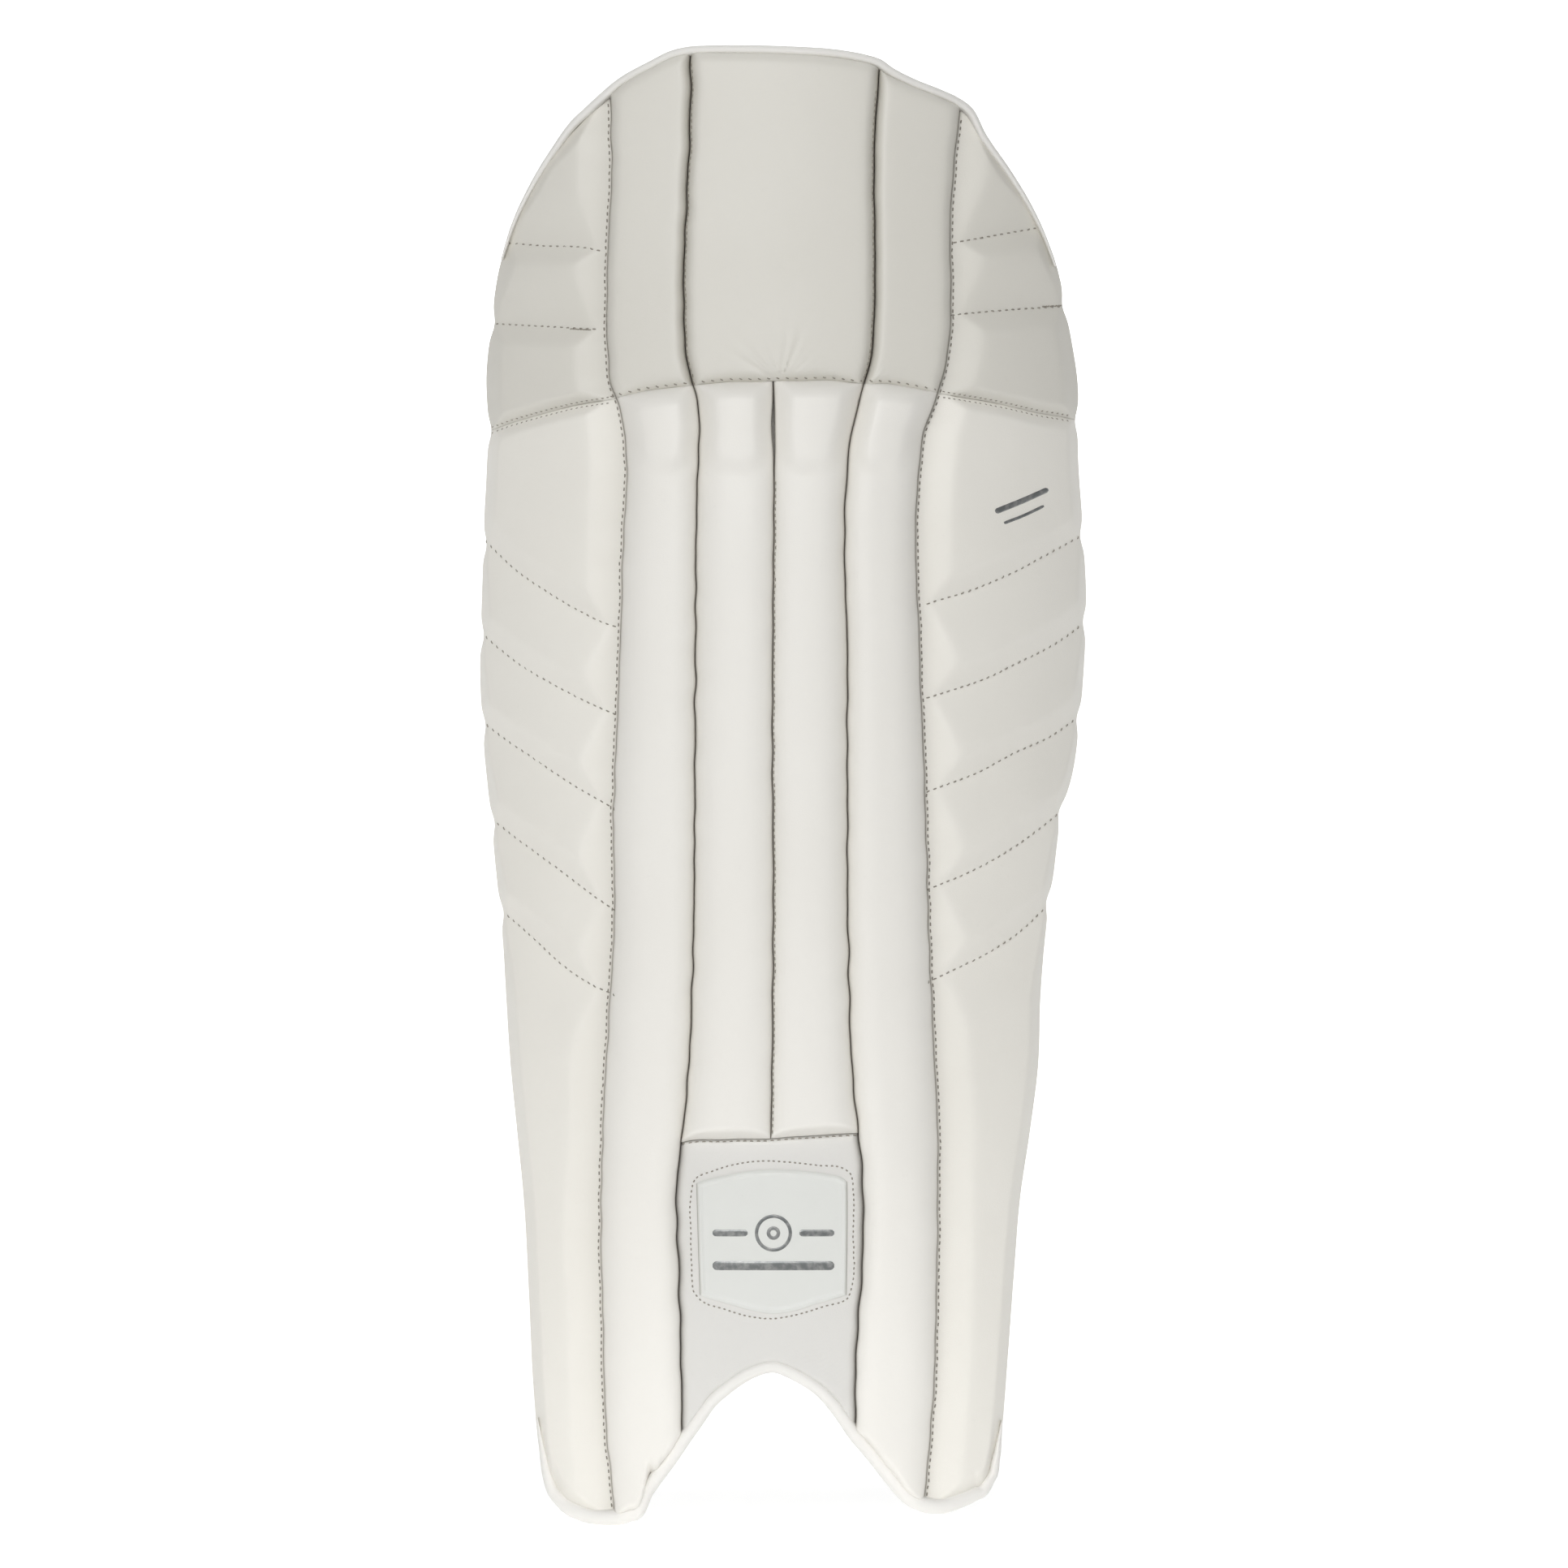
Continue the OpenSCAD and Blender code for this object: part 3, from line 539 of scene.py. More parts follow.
# Instep panel: one flat piece of padded leather under the two middle rolls. Its lower edge is
# cut in an arch for the shoe.
def instep_depth(x, h):
    t = [12.5 + 0.25 * ripple(x, h, 40, 21) + 0 * x]
    slack = np.exp(-((x - 20) / 12) ** 2 - ((h - 72 + 0.5 * (x - 20)) / 8) ** 2)
    t[0] = t[0] + 0.26 * slack * np.sin((h - 0.55 * x) * 2.6 + 1.5 * np.sin(x * 0.35))
    for d in (x - seam_left_inner(h), seam_right_inner(h) - x):
        t.append(rise(d, 7, 6.5, 13.5))
    t.append(swell(-away(instep_seam, x, h), 4, 10.6, 13.5))
    t.append(rise(away(lower_edge, x, h) - LIP, 7, 10.0, 13.5))
    return least(0.5, *t)


instep_leather = leather("instep_leather", (0.715, 0.706, 0.678), (0.690, 0.681, 0.650))
instep = panel("instep_panel", seam_left_inner, seam_right_inner, lobe_line, instep_seam,
               instep_depth, instep_leather, across=100, tall=170, back=5.8)
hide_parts("instep_panel", "instep_foam")
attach(instep, "shin")


# Panels above the knee: a broad centre panel between two narrow strips, flat foam under leather,
# with a short top wing on each side that has two quilting lines.
top_edge = smooth_curve([
    (-140, 583), (-100, 616), (-81, 634.5), (-69, 645), (-55, 653), (-45, 657.5), (-38, 658.8),
    (-20, 659), (0, 658.7), (20, 657.8), (36, 655.8), (45, 653.8), (51, 650), (62, 645),
    (75, 640), (87, 634), (100, 621), (140, 585)])


def top_line(x):
    return top_edge(x) - 3.4 * np.sqrt(1 + np.minimum(slope_of(top_edge, x) ** 2, 1.5))


def pinch(x, h, at, reach, ridges, seed, tall=0.42):
    """Fine creases that fan out from a point where the leather is caught in a seam."""
    dx, dh = x - at[0], h - at[1]
    r, a = np.hypot(dx, dh), np.arctan2(dh, dx)
    rng = np.random.default_rng(seed)
    wave = sum(np.sin(a * (ridges + k) + rng.uniform(0, 6.28) + r * rng.uniform(-0.08, 0.08))
               for k in (0, 5, 11))
    return tall * wave * ease(r / 4) * np.exp(-(r / reach) ** 2)


def flap_depth(a, b, top, seed, da=8.5, db=8.5):
    def depth(x, h):
        t = [top + 0.5 * ripple(x, h, 90, seed) + 0 * x]
        t[0] = t[0] + pinch(x, h, (3, 508), 17, 17, seed) + 0.6 * pinch(x, h, (42, 507), 9, 15, 8)
        t.append(rise(x - a(h), 8, da, top + 1.5))
        t.append(rise(b(h) - x, 8, db, top + 1.5))
        t.append(swell(away(knee_seam, x, h), 6.5, knee_depth - 0.6, top + 1.5))
        t.append(rise(-away(top_line, x, h), 9, 12.0, top + 1.5))
        return least(0.8, *t)
    return depth


for word, a, b, top, seed, da, db in (
        ("knee_centre", seam_left_inner, seam_right_inner, 19.0, 31, 7, 7),
        ("knee_left_strip", seam_left_outer, seam_left_inner, 18.0, 32, 9, 7),
        ("knee_right_strip", seam_right_inner, seam_right_outer, 18.0, 33, 7, 9)):
    flap = panel(word, a, b, knee_seam, top_line, flap_depth(a, b, top, seed, da, db),
                 knee_leather_painted_shade, across=120 if word == "knee_centre" else 60, tall=180, back=1.7)
    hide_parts(word + "_cover", word + "_foam")
    knee_bend(flap)

top_quilts = {
    -1: [[(-140, 575), (-119.5, 573), (-102.5, 571), (-86, 570), (-73.5, 567.5), (-60, 566)],
         [(-140, 538.5), (-125, 537), (-78, 533.2), (-60, 532)]],
    1: [[(60, 568.5), (83.5, 572.5), (101, 576), (120, 580), (140, 584)],
        [(60, 537), (79, 539.5), (105, 542.5), (131, 545), (145, 546.5)]]}
top_quilts = {s: [smooth_curve(q) for q in qs] for s, qs in top_quilts.items()}

for side, (word, seam, edge) in SIDES.items():
    a, b = (seam, edge)[::side]
    depth = quilted(side, 41 + side, (7.5, 6.5, 13.5), (9.0, 0.9), top_quilts[side],
                    (9.8, 2.2, 5.6), ((9.5, 1.1, knee_seam, 0.0), (10.5, -0.9, top_line, 0.0)))
    wing = panel(f"{word}_top_wing", a, b, knee_seam, top_line, depth, knee_leather_painted_shade,
                 across=56, tall=150, back=1.8, free=word)
    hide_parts(f"{word}_top_wing_cover", f"{word}_top_wing_foam")
    knee_bend(wing)


# Bindings: strips of the same leather folded round the lower and upper edges and sewn down.
# The lower one is soft and rounded, with small gathers where it turns round the arch.
def swept(name, path, one, two, half_one, half_two, material, power=2.0, sides=28,
          closed=False):
    """A strip or bar of rounded section carried along a path; one and two span its section."""
    path, one, two = (np.asarray(k, float) for k in (path, one, two))
    n = len(path)
    a = np.linspace(0, 2 * np.pi, sides, endpoint=False)
    c = np.sign(np.cos(a)) * np.abs(np.cos(a)) ** (2 / power)
    s = np.sign(np.sin(a)) * np.abs(np.sin(a)) ** (2 / power)
    half_one = np.broadcast_to(half_one, n)[:, None, None]
    half_two = np.broadcast_to(half_two, n)[:, None, None]
    rings = (path[:, None] + half_one * c[None, :, None] * one[:, None]
             + half_two * s[None, :, None] * two[:, None])
    verts = rings.reshape(-1, 3) * MM
    faces = []
    for i in range(n if closed else n - 1):
        j = (i + 1) % n
        for k in range(sides):
            m = (k + 1) % sides
            faces.append((i * sides + k, j * sides + k, j * sides + m, i * sides + m))
    if not closed:
        faces.append(tuple(range(sides)))
        faces.append(tuple((n - 1) * sides + k for k in range(sides)))
    piece = finish_mesh(name, verts, faces, material, 60)
    length = np.concatenate([[0], np.cumsum(np.linalg.norm(np.diff(path, axis=0), axis=1))])
    uv = piece.data.uv_layers.new(name="along")
    index = np.empty(len(piece.data.loops), int)
    piece.data.loops.foreach_get("vertex_index", index)
    wide = (c * float(np.mean(half_one)) if np.mean(half_one) > np.mean(half_two)
            else s * float(np.mean(half_two)))
    coords = np.stack([length[index // sides], wide[index % sides]], -1) * MM
    uv.data.foreach_set("uv", coords.ravel().astype(np.float32))
    return piece


def resample(points, step):
    """Evenly spaced points along a smooth line through the given ones."""
    p = np.asarray(points, float)
    s = np.concatenate([[0], np.cumsum(np.linalg.norm(np.diff(p, axis=0), axis=1))])
    fine = np.linspace(0, s[-1], max(8, int(s[-1] / step)))
    columns = [smooth_curve(list(zip(s, p[:, k])))(fine) for k in range(p.shape[1])]
    return np.stack(columns, -1)


def edge_binding(name, line, half_w, half_d, centre_t, seed, gather, material):
    """A folded strip; line holds (across, height) along the edge, with the pad on its left.

    half_w holds (share of the line, half width of the strip there).
    """
    p = resample(line, 1.0)
    along = np.gradient(p, axis=0)
    along /= np.linalg.norm(along, axis=1)[:, None]
    inward = np.stack([-along[:, 1], along[:, 0]], -1)
    n = len(p)
    s = np.linspace(0, 1, n)
    half_w = np.interp(s, *zip(*half_w))
    q = p + inward * half_w[:, None]
    pleat = gather * (ripple(np.arange(n) * 1.0, np.zeros(n), 9, seed) * 0.5
                      + ripple(np.arange(n) * 1.0, np.zeros(n), 23, seed + 1))
    path = np.stack([q[:, 0], back_depth(q[:, 0]) - centre_t, q[:, 1] - SEAT], -1)
    one = np.stack([inward[:, 0], np.zeros(n), inward[:, 1]], -1)
    two = np.tile([0.0, 1.0, 0.0], (n, 1))
    return swept(name, path, one, two, half_w + pleat * 0.4, half_d + pleat, material,
                 power=2.6)


binding_leather = leather("binding_leather", (0.84, 0.828, 0.795), (0.80, 0.785, 0.75),
                          rough=0.46, grain=0.7, crease=2.2)
low_x = np.concatenate([np.linspace(-101.0, -60, 38), np.linspace(-59, 58, 120),
                        np.linspace(60, 98, 28)])
low_line = np.concatenate([[(-106, 47), (-105.4, 38), (-104.7, 30), (-103.6, 22), (-102.4, 17)],
                           np.stack([low_x, lower_edge(low_x)], -1),
                           [(100.2, 21), (101.2, 28), (102, 38), (102.5, 46)]])
bottom = edge_binding("bottom_binding", low_line,
                      [(0, 0.4), (0.05, 2.1), (0.14, 3.7), (0.25, 3.6), (0.4, 3.1), (0.6, 3.1),
                       (0.76, 3.6), (0.86, 3.8), (0.945, 2.1), (1, 0.4)],
                      6.6, 6.0, 5, 0.16, binding_leather)
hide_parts("bottom_binding")
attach(bottom, "shin")

high_line = [(127, 563), (122, 577), (114.5, 592), (105.5, 606), (95.5, 620), (88, 633),
             (82, 637), (75, 640), (62, 645), (53, 649.5), (48, 653), (40, 655.3), (30, 657),
             (10, 658.4), (-10, 659), (-30, 659), (-38, 658.6), (-46, 656.8), (-55, 652.5),
             (-69, 645), (-80, 636), (-85, 631.5), (-89, 628), (-99, 615), (-108.5, 600),
             (-118, 580), (-122.3, 566)]
rim = edge_binding("top_binding", high_line,
                   [(0, 0.7), (0.1, 1.5), (0.22, 2.2), (0.5, 2.4), (0.78, 2.2), (0.9, 1.5),
                    (1, 0.7)],
                   7.0, 7.4, 9, 0.05, binding_leather)
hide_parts("top_binding")
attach(rim, "knee_top")

# Badge: a shield-shaped patch of smooth coated leather, pressed round its edge and sewn to the
# instep, with a plain foil emblem: a ring, a bar each side and a line under them.
badge_low = smooth_curve([(-36, 104.8), (-32, 103), (-20, 99.4), (-8, 96.2), (0, 95.2),
                          (8, 96.2), (20, 99.8), (32.5, 103.4), (36, 104.6)])
badge_high = smooth_curve([(-36, 152), (-34, 153), (-20, 156.8), (-6, 159), (10, 158.8),
                           (24, 157.2), (31, 155.2), (36, 150)])
badge_left = smooth_curve([(90, -32.2), (110, -33), (150, -34.2), (165, -34.6)])
badge_right = smooth_curve([(90, 32.3), (110, 32.6), (150, 32.8), (165, 32.4)])


def badge_depth(x, h):
    d = np.minimum.reduce([x - badge_left(h), badge_right(h) - x,
                           away(badge_low, x, h), -away(badge_high, x, h)])
    return instep_depth(x, h) + 0.35 + 0.9 * ease(d / 1.2) - 0.55 * ease((d - 1.6) / 0.9)


badge_leather = leather("badge_leather", (0.735, 0.745, 0.715), (0.715, 0.722, 0.690),
                        rough=0.34, grain=0.5, crease=0.25)
badge = panel("badge", badge_left, badge_right, badge_low, badge_high, badge_depth,
              badge_leather, across=70, tall=64, back=11.0, gap=0.0)
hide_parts("badge")
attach(badge, "shin")


# Foil marks: thin silver-grey foil pressed into the leather, here plain bars and a ring.
def patterned(name, pattern, one, two, rough, dent, depth=0.0002, gloss=0.0, fade=None, **more):
    """A material whose colour, gloss and relief all follow one texture."""
    material, net, place = new_material(name)
    value = pattern(net, place)
    amount = (value - fade[0]) * fade[1] if fade else value
    net.principled(Base_Color=mix(net, amount, one, two), Normal=net.bump(value, dent, depth),
                   Roughness=rough + value * gloss if gloss else rough, **more)
    return material


foil = patterned("foil", lambda net, place: net.make("TexNoise", Vector=place, Scale=420.0,
                                                     Detail=4.0),
                 (0.20, 0.21, 0.21), (0.40, 0.40, 0.39), 0.30, 0.2, gloss=0.15,
                 fade=(0.4, 2.5), Metallic=0.55)


def front_surface():
    verts, faces, start = [], [], 0
    for points, quads in skins:
        verts.append(points)
        faces.append(quads + start)
        start += len(points)
    return BVHTree.FromPolygons(np.concatenate(verts).tolist(), np.concatenate(faces).tolist())


front = front_surface()


def on_front(x, h):
    """Point and outward normal on the covers, for millimetres across and height."""
    hit, normal, _, _ = front.ray_cast(Vector((x / 1000, -0.5, (h - SEAT) / 1000)),
                                       Vector((0, 1, 0)))
    if hit is None:
        return None
    if normal.y > 0:
        normal = -normal
    return np.array(hit) * 1000, np.array(normal)


def foil_stroke(name, line, width, closed=False):
    line = np.asarray(line, float)
    if not closed:
        line = resample(line, 0.8)
    along = (np.roll(line, -1, 0) - np.roll(line, 1, 0)) if closed else np.gradient(line, axis=0)
    path, one, two, half = [], [], [], []
    for k, ((x, h), (dx, dh)) in enumerate(zip(line, along)):
        point, normal = on_front(x, h)
        run = np.array([dx, 0, dh]) / math.hypot(dx, dh)
        side = np.cross(normal, run)
        path.append(point + normal * 0.04)
        one.append(side / np.linalg.norm(side))
        two.append(normal)
        end = 1.0 if closed else min(1.0, (min(k, len(line) - 1 - k) * 0.8 + 0.15) / (width / 2))
        half.append(width / 2 * math.sqrt(1 - (1 - end) ** 2))
    mark = swept(name, path, one, two, np.array(half), 0.16, foil, power=3.0, sides=10,
                 closed=closed)
    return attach(mark, "shin")


turn = np.linspace(0, 2 * np.pi, 48, endpoint=False)
foil_stroke("badge_ring", np.stack([7.5 * np.cos(turn), 131 + 7.5 * np.sin(turn)], -1), 1.5, True)
foil_stroke("badge_dot", np.stack([2.2 * np.cos(turn), 131 + 2.2 * np.sin(turn)], -1), 1.6, True)
foil_stroke("badge_bar_left", [(-27, 131), (-19, 131), (-11.5, 131)], 3.0)
foil_stroke("badge_bar_right", [(11.5, 131), (19, 131), (27, 131)], 3.0)
foil_stroke("badge_line", [(-27, 116.5), (0, 116.5), (27, 116.5)], 4.0)
foil_stroke("wing_mark_1", [(99, 452), (111, 457), (123, 462.5)], 2.6)
foil_stroke("wing_mark_2", [(103, 447), (112, 450.6), (121, 455)], 1.4)


# Stitching: thread coloured a darker grey-brown as painted shade of the stitch holes, one dash
# for every stitch, sewn down every seam and quilting line.
thread = patterned("thread", lambda net, place: net.make(
    "TexWave", {"bands_direction": "DIAGONAL"}, out=1, Vector=place, Scale=1400.0,
    Distortion=1.0), (0.235, 0.215, 0.180), (0.40, 0.375, 0.325), 0.75, 0.4)


def stitches(name, spots, length=1.9, width=0.33):
    """One small arched dash of thread for each (point, direction, normal), in millimetres."""
    place = np.array([-0.5, -0.36, 0, 0.36, 0.5]) * length
    fat = np.array([0.3, 0.85, 1.0, 0.85, 0.3]) * width
    lift = np.array([-0.35, 0.02, 0.16, 0.02, -0.35])
    ring = np.linspace(0, 2 * np.pi, 6, endpoint=False)
    verts, faces = [], []
    for point, run, normal in spots:
        side = np.cross(normal, run)
        side /= np.linalg.norm(side)
        start = len(verts)
        for a, f, l in zip(place, fat, lift):
            for r in ring:
                verts.append((point + run * a + side * f * math.cos(r)
                              + normal * (l + f * 0.8 * math.sin(r))) * MM)
        for i in range(4):
            for k in range(6):
                m = (k + 1) % 6
                faces.append((start + 6 * i + k, start + 6 * i + 6 + k,
                              start + 6 * i + 6 + m, start + 6 * i + m))
        faces.append(tuple(start + k for k in range(6)))
        faces.append(tuple(start + 24 + k for k in range(6)))
    return finish_mesh(name, verts, faces, thread, 80)


def seam_spots(lines, pitch, seed, slant):
    rng = np.random.default_rng(seed)
    spots = []
    for line in lines:
        p = resample(line, pitch)
        d = np.gradient(p, axis=0)
        for (x, h), (dx, dh) in zip(p, d):
            found = on_front(x + rng.normal(0, 0.08), h)
            if found is None:
                continue
            point, normal = found
            run = np.array([dx, 0.0, dh])
            run -= normal * run.dot(normal)
            run /= np.linalg.norm(run)
            tilt = slant + rng.normal(0, 0.07)
            side = np.cross(normal, run)
            run = run * math.cos(tilt) + side * math.sin(tilt)
            spots.append((point, run, normal))
    return spots


def upright_line(seam, lo, hi, shift):
    h = np.arange(lo, hi, 6.0)
    return np.stack([seam(h) + shift, h], -1)


def level_line(seam, lo, hi, shift):
    x = np.arange(lo, hi, 4.0)
    return np.stack([x, seam(x) + shift], -1)


def sewn(name, lines, pitch=3.0, seed=1, bend=True, slant=0.0, **more):
    piece = stitches(name, seam_spots(lines, pitch, seed, slant), **more)
    return knee_bend(piece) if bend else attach(piece, "shin")


sewn("stitching_left_outer_seam", [upright_line(seam_left_outer, 9, 636, -1.1)], 3.0, 1)
sewn("stitching_right_outer_seam", [upright_line(seam_right_outer, 14, 632, 1.1)], 3.0, 2)
sewn("stitching_left_inner_seam", [upright_line(seam_left_inner, 512, 652, 0.9)], 2.7, 3)
sewn("stitching_right_inner_seam", [upright_line(seam_right_inner, 512, 642, -0.9)], 2.7, 4)
sewn("stitching_middle_seam", [upright_line(seam_middle, 176, 468, 0.8)], 2.8, 5)
sewn("stitching_knee_seam", [level_line(knee_seam, -72, 76, 1.2)], 4.0, 6, slant=-0.5, length=1.8)
sewn("stitching_knee_wings", [level_line(knee_seam, -126, -72, 1.2),
                              level_line(knee_seam, -126, -72, -1.4),
                              level_line(knee_seam, 76, 134, 1.2),
                              level_line(knee_seam, 76, 134, -1.4)], 2.2, 7, length=1.3,
     width=0.26)
sewn("stitching_left_quilting", [level_line(q, -131, -70.5, 0) for q in quilt_left], 3.0, 8,
     bend=False)
sewn("stitching_right_quilting", [level_line(q, 69, 140, 0) for q in quilt_right], 3.0, 9,
     bend=False)
sewn("stitching_top_wings", [level_line(top_quilts[-1][0], -118, -75, 0),
                             level_line(top_quilts[-1][1], -124, -79, 0),
                             level_line(top_quilts[-1][1], -90, -79, -0.5),
                             level_line(top_quilts[1][0], 81, 120, 0),
                             level_line(top_quilts[1][1], 80, 131, 0),
                             level_line(top_quilts[1][1], 121, 131, 0.5)], 2.7, 10)
sewn("stitching_instep", [level_line(instep_seam, -40, 38, -1.0)], 2.9, 11, bend=False)
sewn("stitching_badge", [[(-36.3, 112), (-36.7, 130), (-36.6, 148), (-35, 154.5), (-26, 158.8),
                          (-15, 161.9), (-5, 163), (8, 162.4), (20, 161), (31, 159.6),
                          (34.4, 157), (35.4, 150), (35.4, 130), (35, 108), (33.5, 102.6),
                          (22, 98.2), (8, 94.2), (0, 93), (-10, 93.8), (-22, 97.2), (-32.5, 101.2),
                          (-35.2, 104.5), (-36.3, 112)]], 2.3, 12, bend=False, length=1.35)


# Linings and foam sheet: the back is knitted spacer mesh over a thin foam sheet, one piece on the
# shin, one above the knee and one behind each wing.
def mesh_cloth(name, light, hole_shade, cell=330.0):
    material, net, place = new_material(name)
    x, z = axis_of(net, place, "X"), axis_of(net, place, "Z")
    # rows of small oval holes, every other row shifted by half
    row = (z * (cell * 6.2832)).sine()
    column = (x * (cell * 3.1416)).sine()
    pit = (((row * column).abs() - 0.55) * 3.0).clamp()
    fuzz = net.make("TexNoise", Vector=place, Scale=1600.0, Detail=3.0)
    wide = net.make("TexNoise", Vector=place, Scale=14.0, Detail=2.0)
    body = mix(net, (wide - 0.3) * 1.6, light, tuple(c * 0.94 for c in light))
    # painted shade: the holes are coloured dark for the shade inside them
    body = mix(net, pit * 0.75, body, hole_shade)
    net.principled(Base_Color=body, Roughness=0.85,
                   Normal=net.bump(fuzz * 0.25 - pit, 0.7, 0.0008))
    return material


lining_mesh = mesh_cloth("lining_mesh", (0.74, 0.735, 0.71), (0.38, 0.375, 0.36))


def flat(value):
    return lambda *a: value + 0 * np.asarray(a[0], float)


def inset_edge(edge, m):
    return lambda h: edge(h) + m


def lining(name, a, b, low, high, node, tall=120):
    piece = panel(name, a, b, low, high, flat(1.5), lining_mesh, across=30, tall=tall,
                  back=flat(0.0), gap=0.0, cover=False)
    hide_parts(node)
    knee_bend(piece)
    return piece


def just_inside(x):
    return lower_edge(x) + 2.0


def under_top(x):
    return top_edge(x) - 2.0


lining("shin_lining", seam_left_outer, seam_right_outer, just_inside, knee_seam, "shin_lining")
lining("knee_lining", seam_left_outer, seam_right_outer, knee_seam, under_top, "knee_lining", 60)
for side, (word, seam, edge) in SIDES.items():
    a, b = (seam, inset_edge(edge, -1.2 * side))[::side]
    lining(f"{word}_wing_lining", a, b, just_inside, knee_seam, f"{word}_wing_lining", 160)
    lining(f"{word}_top_wing_lining", a, b, knee_seam, under_top, f"{word}_top_wing_lining", 60)


foam = patterned("foam", lambda net, place: net.make("TexVoronoi", Vector=place, Scale=1300.0),
                 (0.80, 0.78, 0.72), (0.70, 0.68, 0.62), 0.95, 0.5, 0.0004)
sheet_foam = panel("shin_foam_sheet", seam_left_outer, seam_right_outer, lobe_line, knee_seam,
                   flat(5.5), foam, across=26, tall=90, back=flat(1.8), gap=1.0, cover=False)
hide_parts("shin_foam_sheet")
knee_bend(sheet_foam)


# Cane rods: split cane, one set in each roll's foam, seen only when a roll is opened.
def fibres(net, place):
    """Noise drawn out along the rods."""
    stretch = net.make("Mapping", Vector=place, Scale=(900.0, 900.0, 12.0))
    return net.make("TexNoise", Vector=stretch, Scale=1.0, Detail=5.0)


canes = nodes["cane_rods"]
canes.data.materials.clear()
canes.data.materials.append(patterned("cane", fibres, (0.62, 0.44, 0.23), (0.80, 0.64, 0.40),
                                      0.45, 0.3, gloss=0.2))


# Side bindings: strips of cover leather along the outer edges of the back, turned over the lining
# and sewn down.
for side, (word, _, edge) in SIDES.items():
    a, b = (inset_edge(edge, -8.5 * side), inset_edge(edge, -0.3 * side))[::side]
    strip = panel(f"{word}_side_binding", a, b, flat(20.0), flat(604.0), flat(0.3),
                  binding_leather, across=10, tall=300, gap=0.1, cover=False,
                  back=lambda x, h: -1.3 - 0.15 * ripple(x, h, 11, 5))
    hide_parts("side_bindings")
    knee_bend(strip)


# Back cushions and knee rests: soft foam in knitted cloth, sewn on the lining either side of the
# shin bone and across the knee. The cloth is blown out over its foam, then sewn down in channels.
cushion_cloth = mesh_cloth("cushion_cloth", (0.80, 0.795, 0.77), (0.55, 0.545, 0.52), 520.0)
VOXEL = 0.004  # cell of the cloth's mesh, in metres
STRETCH = 0.003  # how far the cloth may stand off its foam, in metres
FRAMES = 20  # length of the blowing out
CHANNEL = 5.0  # half width of a sewn channel, in millimetres


def cushion(name, x0, x1, h0, h1, deep, channels, upright, node, foam_node):
    nu, nv = (18, 90) if upright else (60, 18)
    u, v = np.meshgrid(np.linspace(-1, 1, nu), np.linspace(-1, 1, nv))
    x, h = (x0 + x1) / 2 + u * (x1 - x0) / 2, (h0 + h1) / 2 + v * (h1 - h0) / 2
    edge = np.minimum((x1 - x0) / 2 * (1 - np.abs(u)), (h1 - h0) / 2 * (1 - np.abs(v)))
    top = 1.5 + (deep - 3.0) * np.sqrt(np.clip(1 - (1 - np.clip(edge / 11, 0, 1)) ** 2, 0, 1))
    verts = np.concatenate([np.stack([x, back_depth(x) + 0.6, h - SEAT], -1).reshape(-1, 3),
                            np.stack([x, back_depth(x) + top, h - SEAT], -1).reshape(-1, 3)])
    quads, wall = shell(nu, nv)
    faces = np.concatenate([quads[:, ::-1], quads + nu * nv, wall[:, [0, 3, 2, 1]]]).tolist()
    piece = finish_mesh(name, verts * MM, faces, cushion_cloth, 180)
    scene = bpy.context.scene
    bpy.context.view_layer.objects.active = piece
    blown = piece.modifiers.new("remesh", "REMESH")
    blown.mode, blown.voxel_size = "VOXEL", VOXEL
    bpy.ops.object.select_all(action="DESELECT")
    piece.select_set(True)
    bpy.ops.object.modifier_apply(modifier=blown.name)
    before = np.array([w.co for w in piece.data.vertices])
    cloth = piece.modifiers.new("cloth", "CLOTH")
    cloth.settings.use_pressure = True
    cloth.settings.uniform_pressure_force = 4.0
    cloth.settings.effector_weights.gravity = 0
    cloth.settings.quality = 6
    for f in range(1, FRAMES + 1):
        scene.frame_set(f)
    bpy.ops.object.modifier_apply(modifier=cloth.name)
    scene.frame_set(1)
    co = np.array([w.co for w in piece.data.vertices])
    move = co - before
    size = np.linalg.norm(move, axis=1, keepdims=True)
    co = before + move * np.minimum(1, STRETCH / np.maximum(size, 1e-9))
    mm = co * 1000
    floor = back_depth(mm[:, 0]) + 0.4
    run = mm[:, 2] + SEAT if upright else mm[:, 0]
    dip = sum(np.exp(-((run - c) / CHANNEL) ** 2) for c in channels)
    tall = np.clip(mm[:, 1] - floor, 0, deep - 1.0)
    mm[:, 1] = floor + tall * (1 - 0.52 * np.clip(dip, 0, 1))
    piece.data.vertices.foreach_set("co", (mm * MM).ravel())
    sub = piece.modifiers.new("round", "SUBSURF")
    sub.levels = sub.render_levels = 1
    bpy.ops.object.modifier_apply(modifier=sub.name)
    for face in piece.data.polygons:
        face.use_smooth = True
    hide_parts(node, foam_node)
    return piece


for word, centre in (("left", -45), ("right", 45)):
    pad = cushion(f"{word}_bolster", centre - 13, centre + 13, 90, 440, 22, (177, 265, 353), True,
                  f"{word}_bolster_cover", f"{word}_bolster_foam")
    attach(pad, "shin")
for word, low, high in (("lower", 466, 497), ("upper", 516, 546)):
    pad = cushion(f"knee_rest_{word}", -62, 62, low, high, 18, (-20, 20), False,
                  f"knee_rest_{word}_cover", f"knee_rest_{word}_foam")
    knee_bend(pad)


# Straps: woven webbing sewn to the left wing's edge, bowed round the back of the leg, through a
# ring on the right and back on itself, where hook tape holds the tail to loop tape on the band.
RIB = 1500.0  # ribs of the weave, along its width


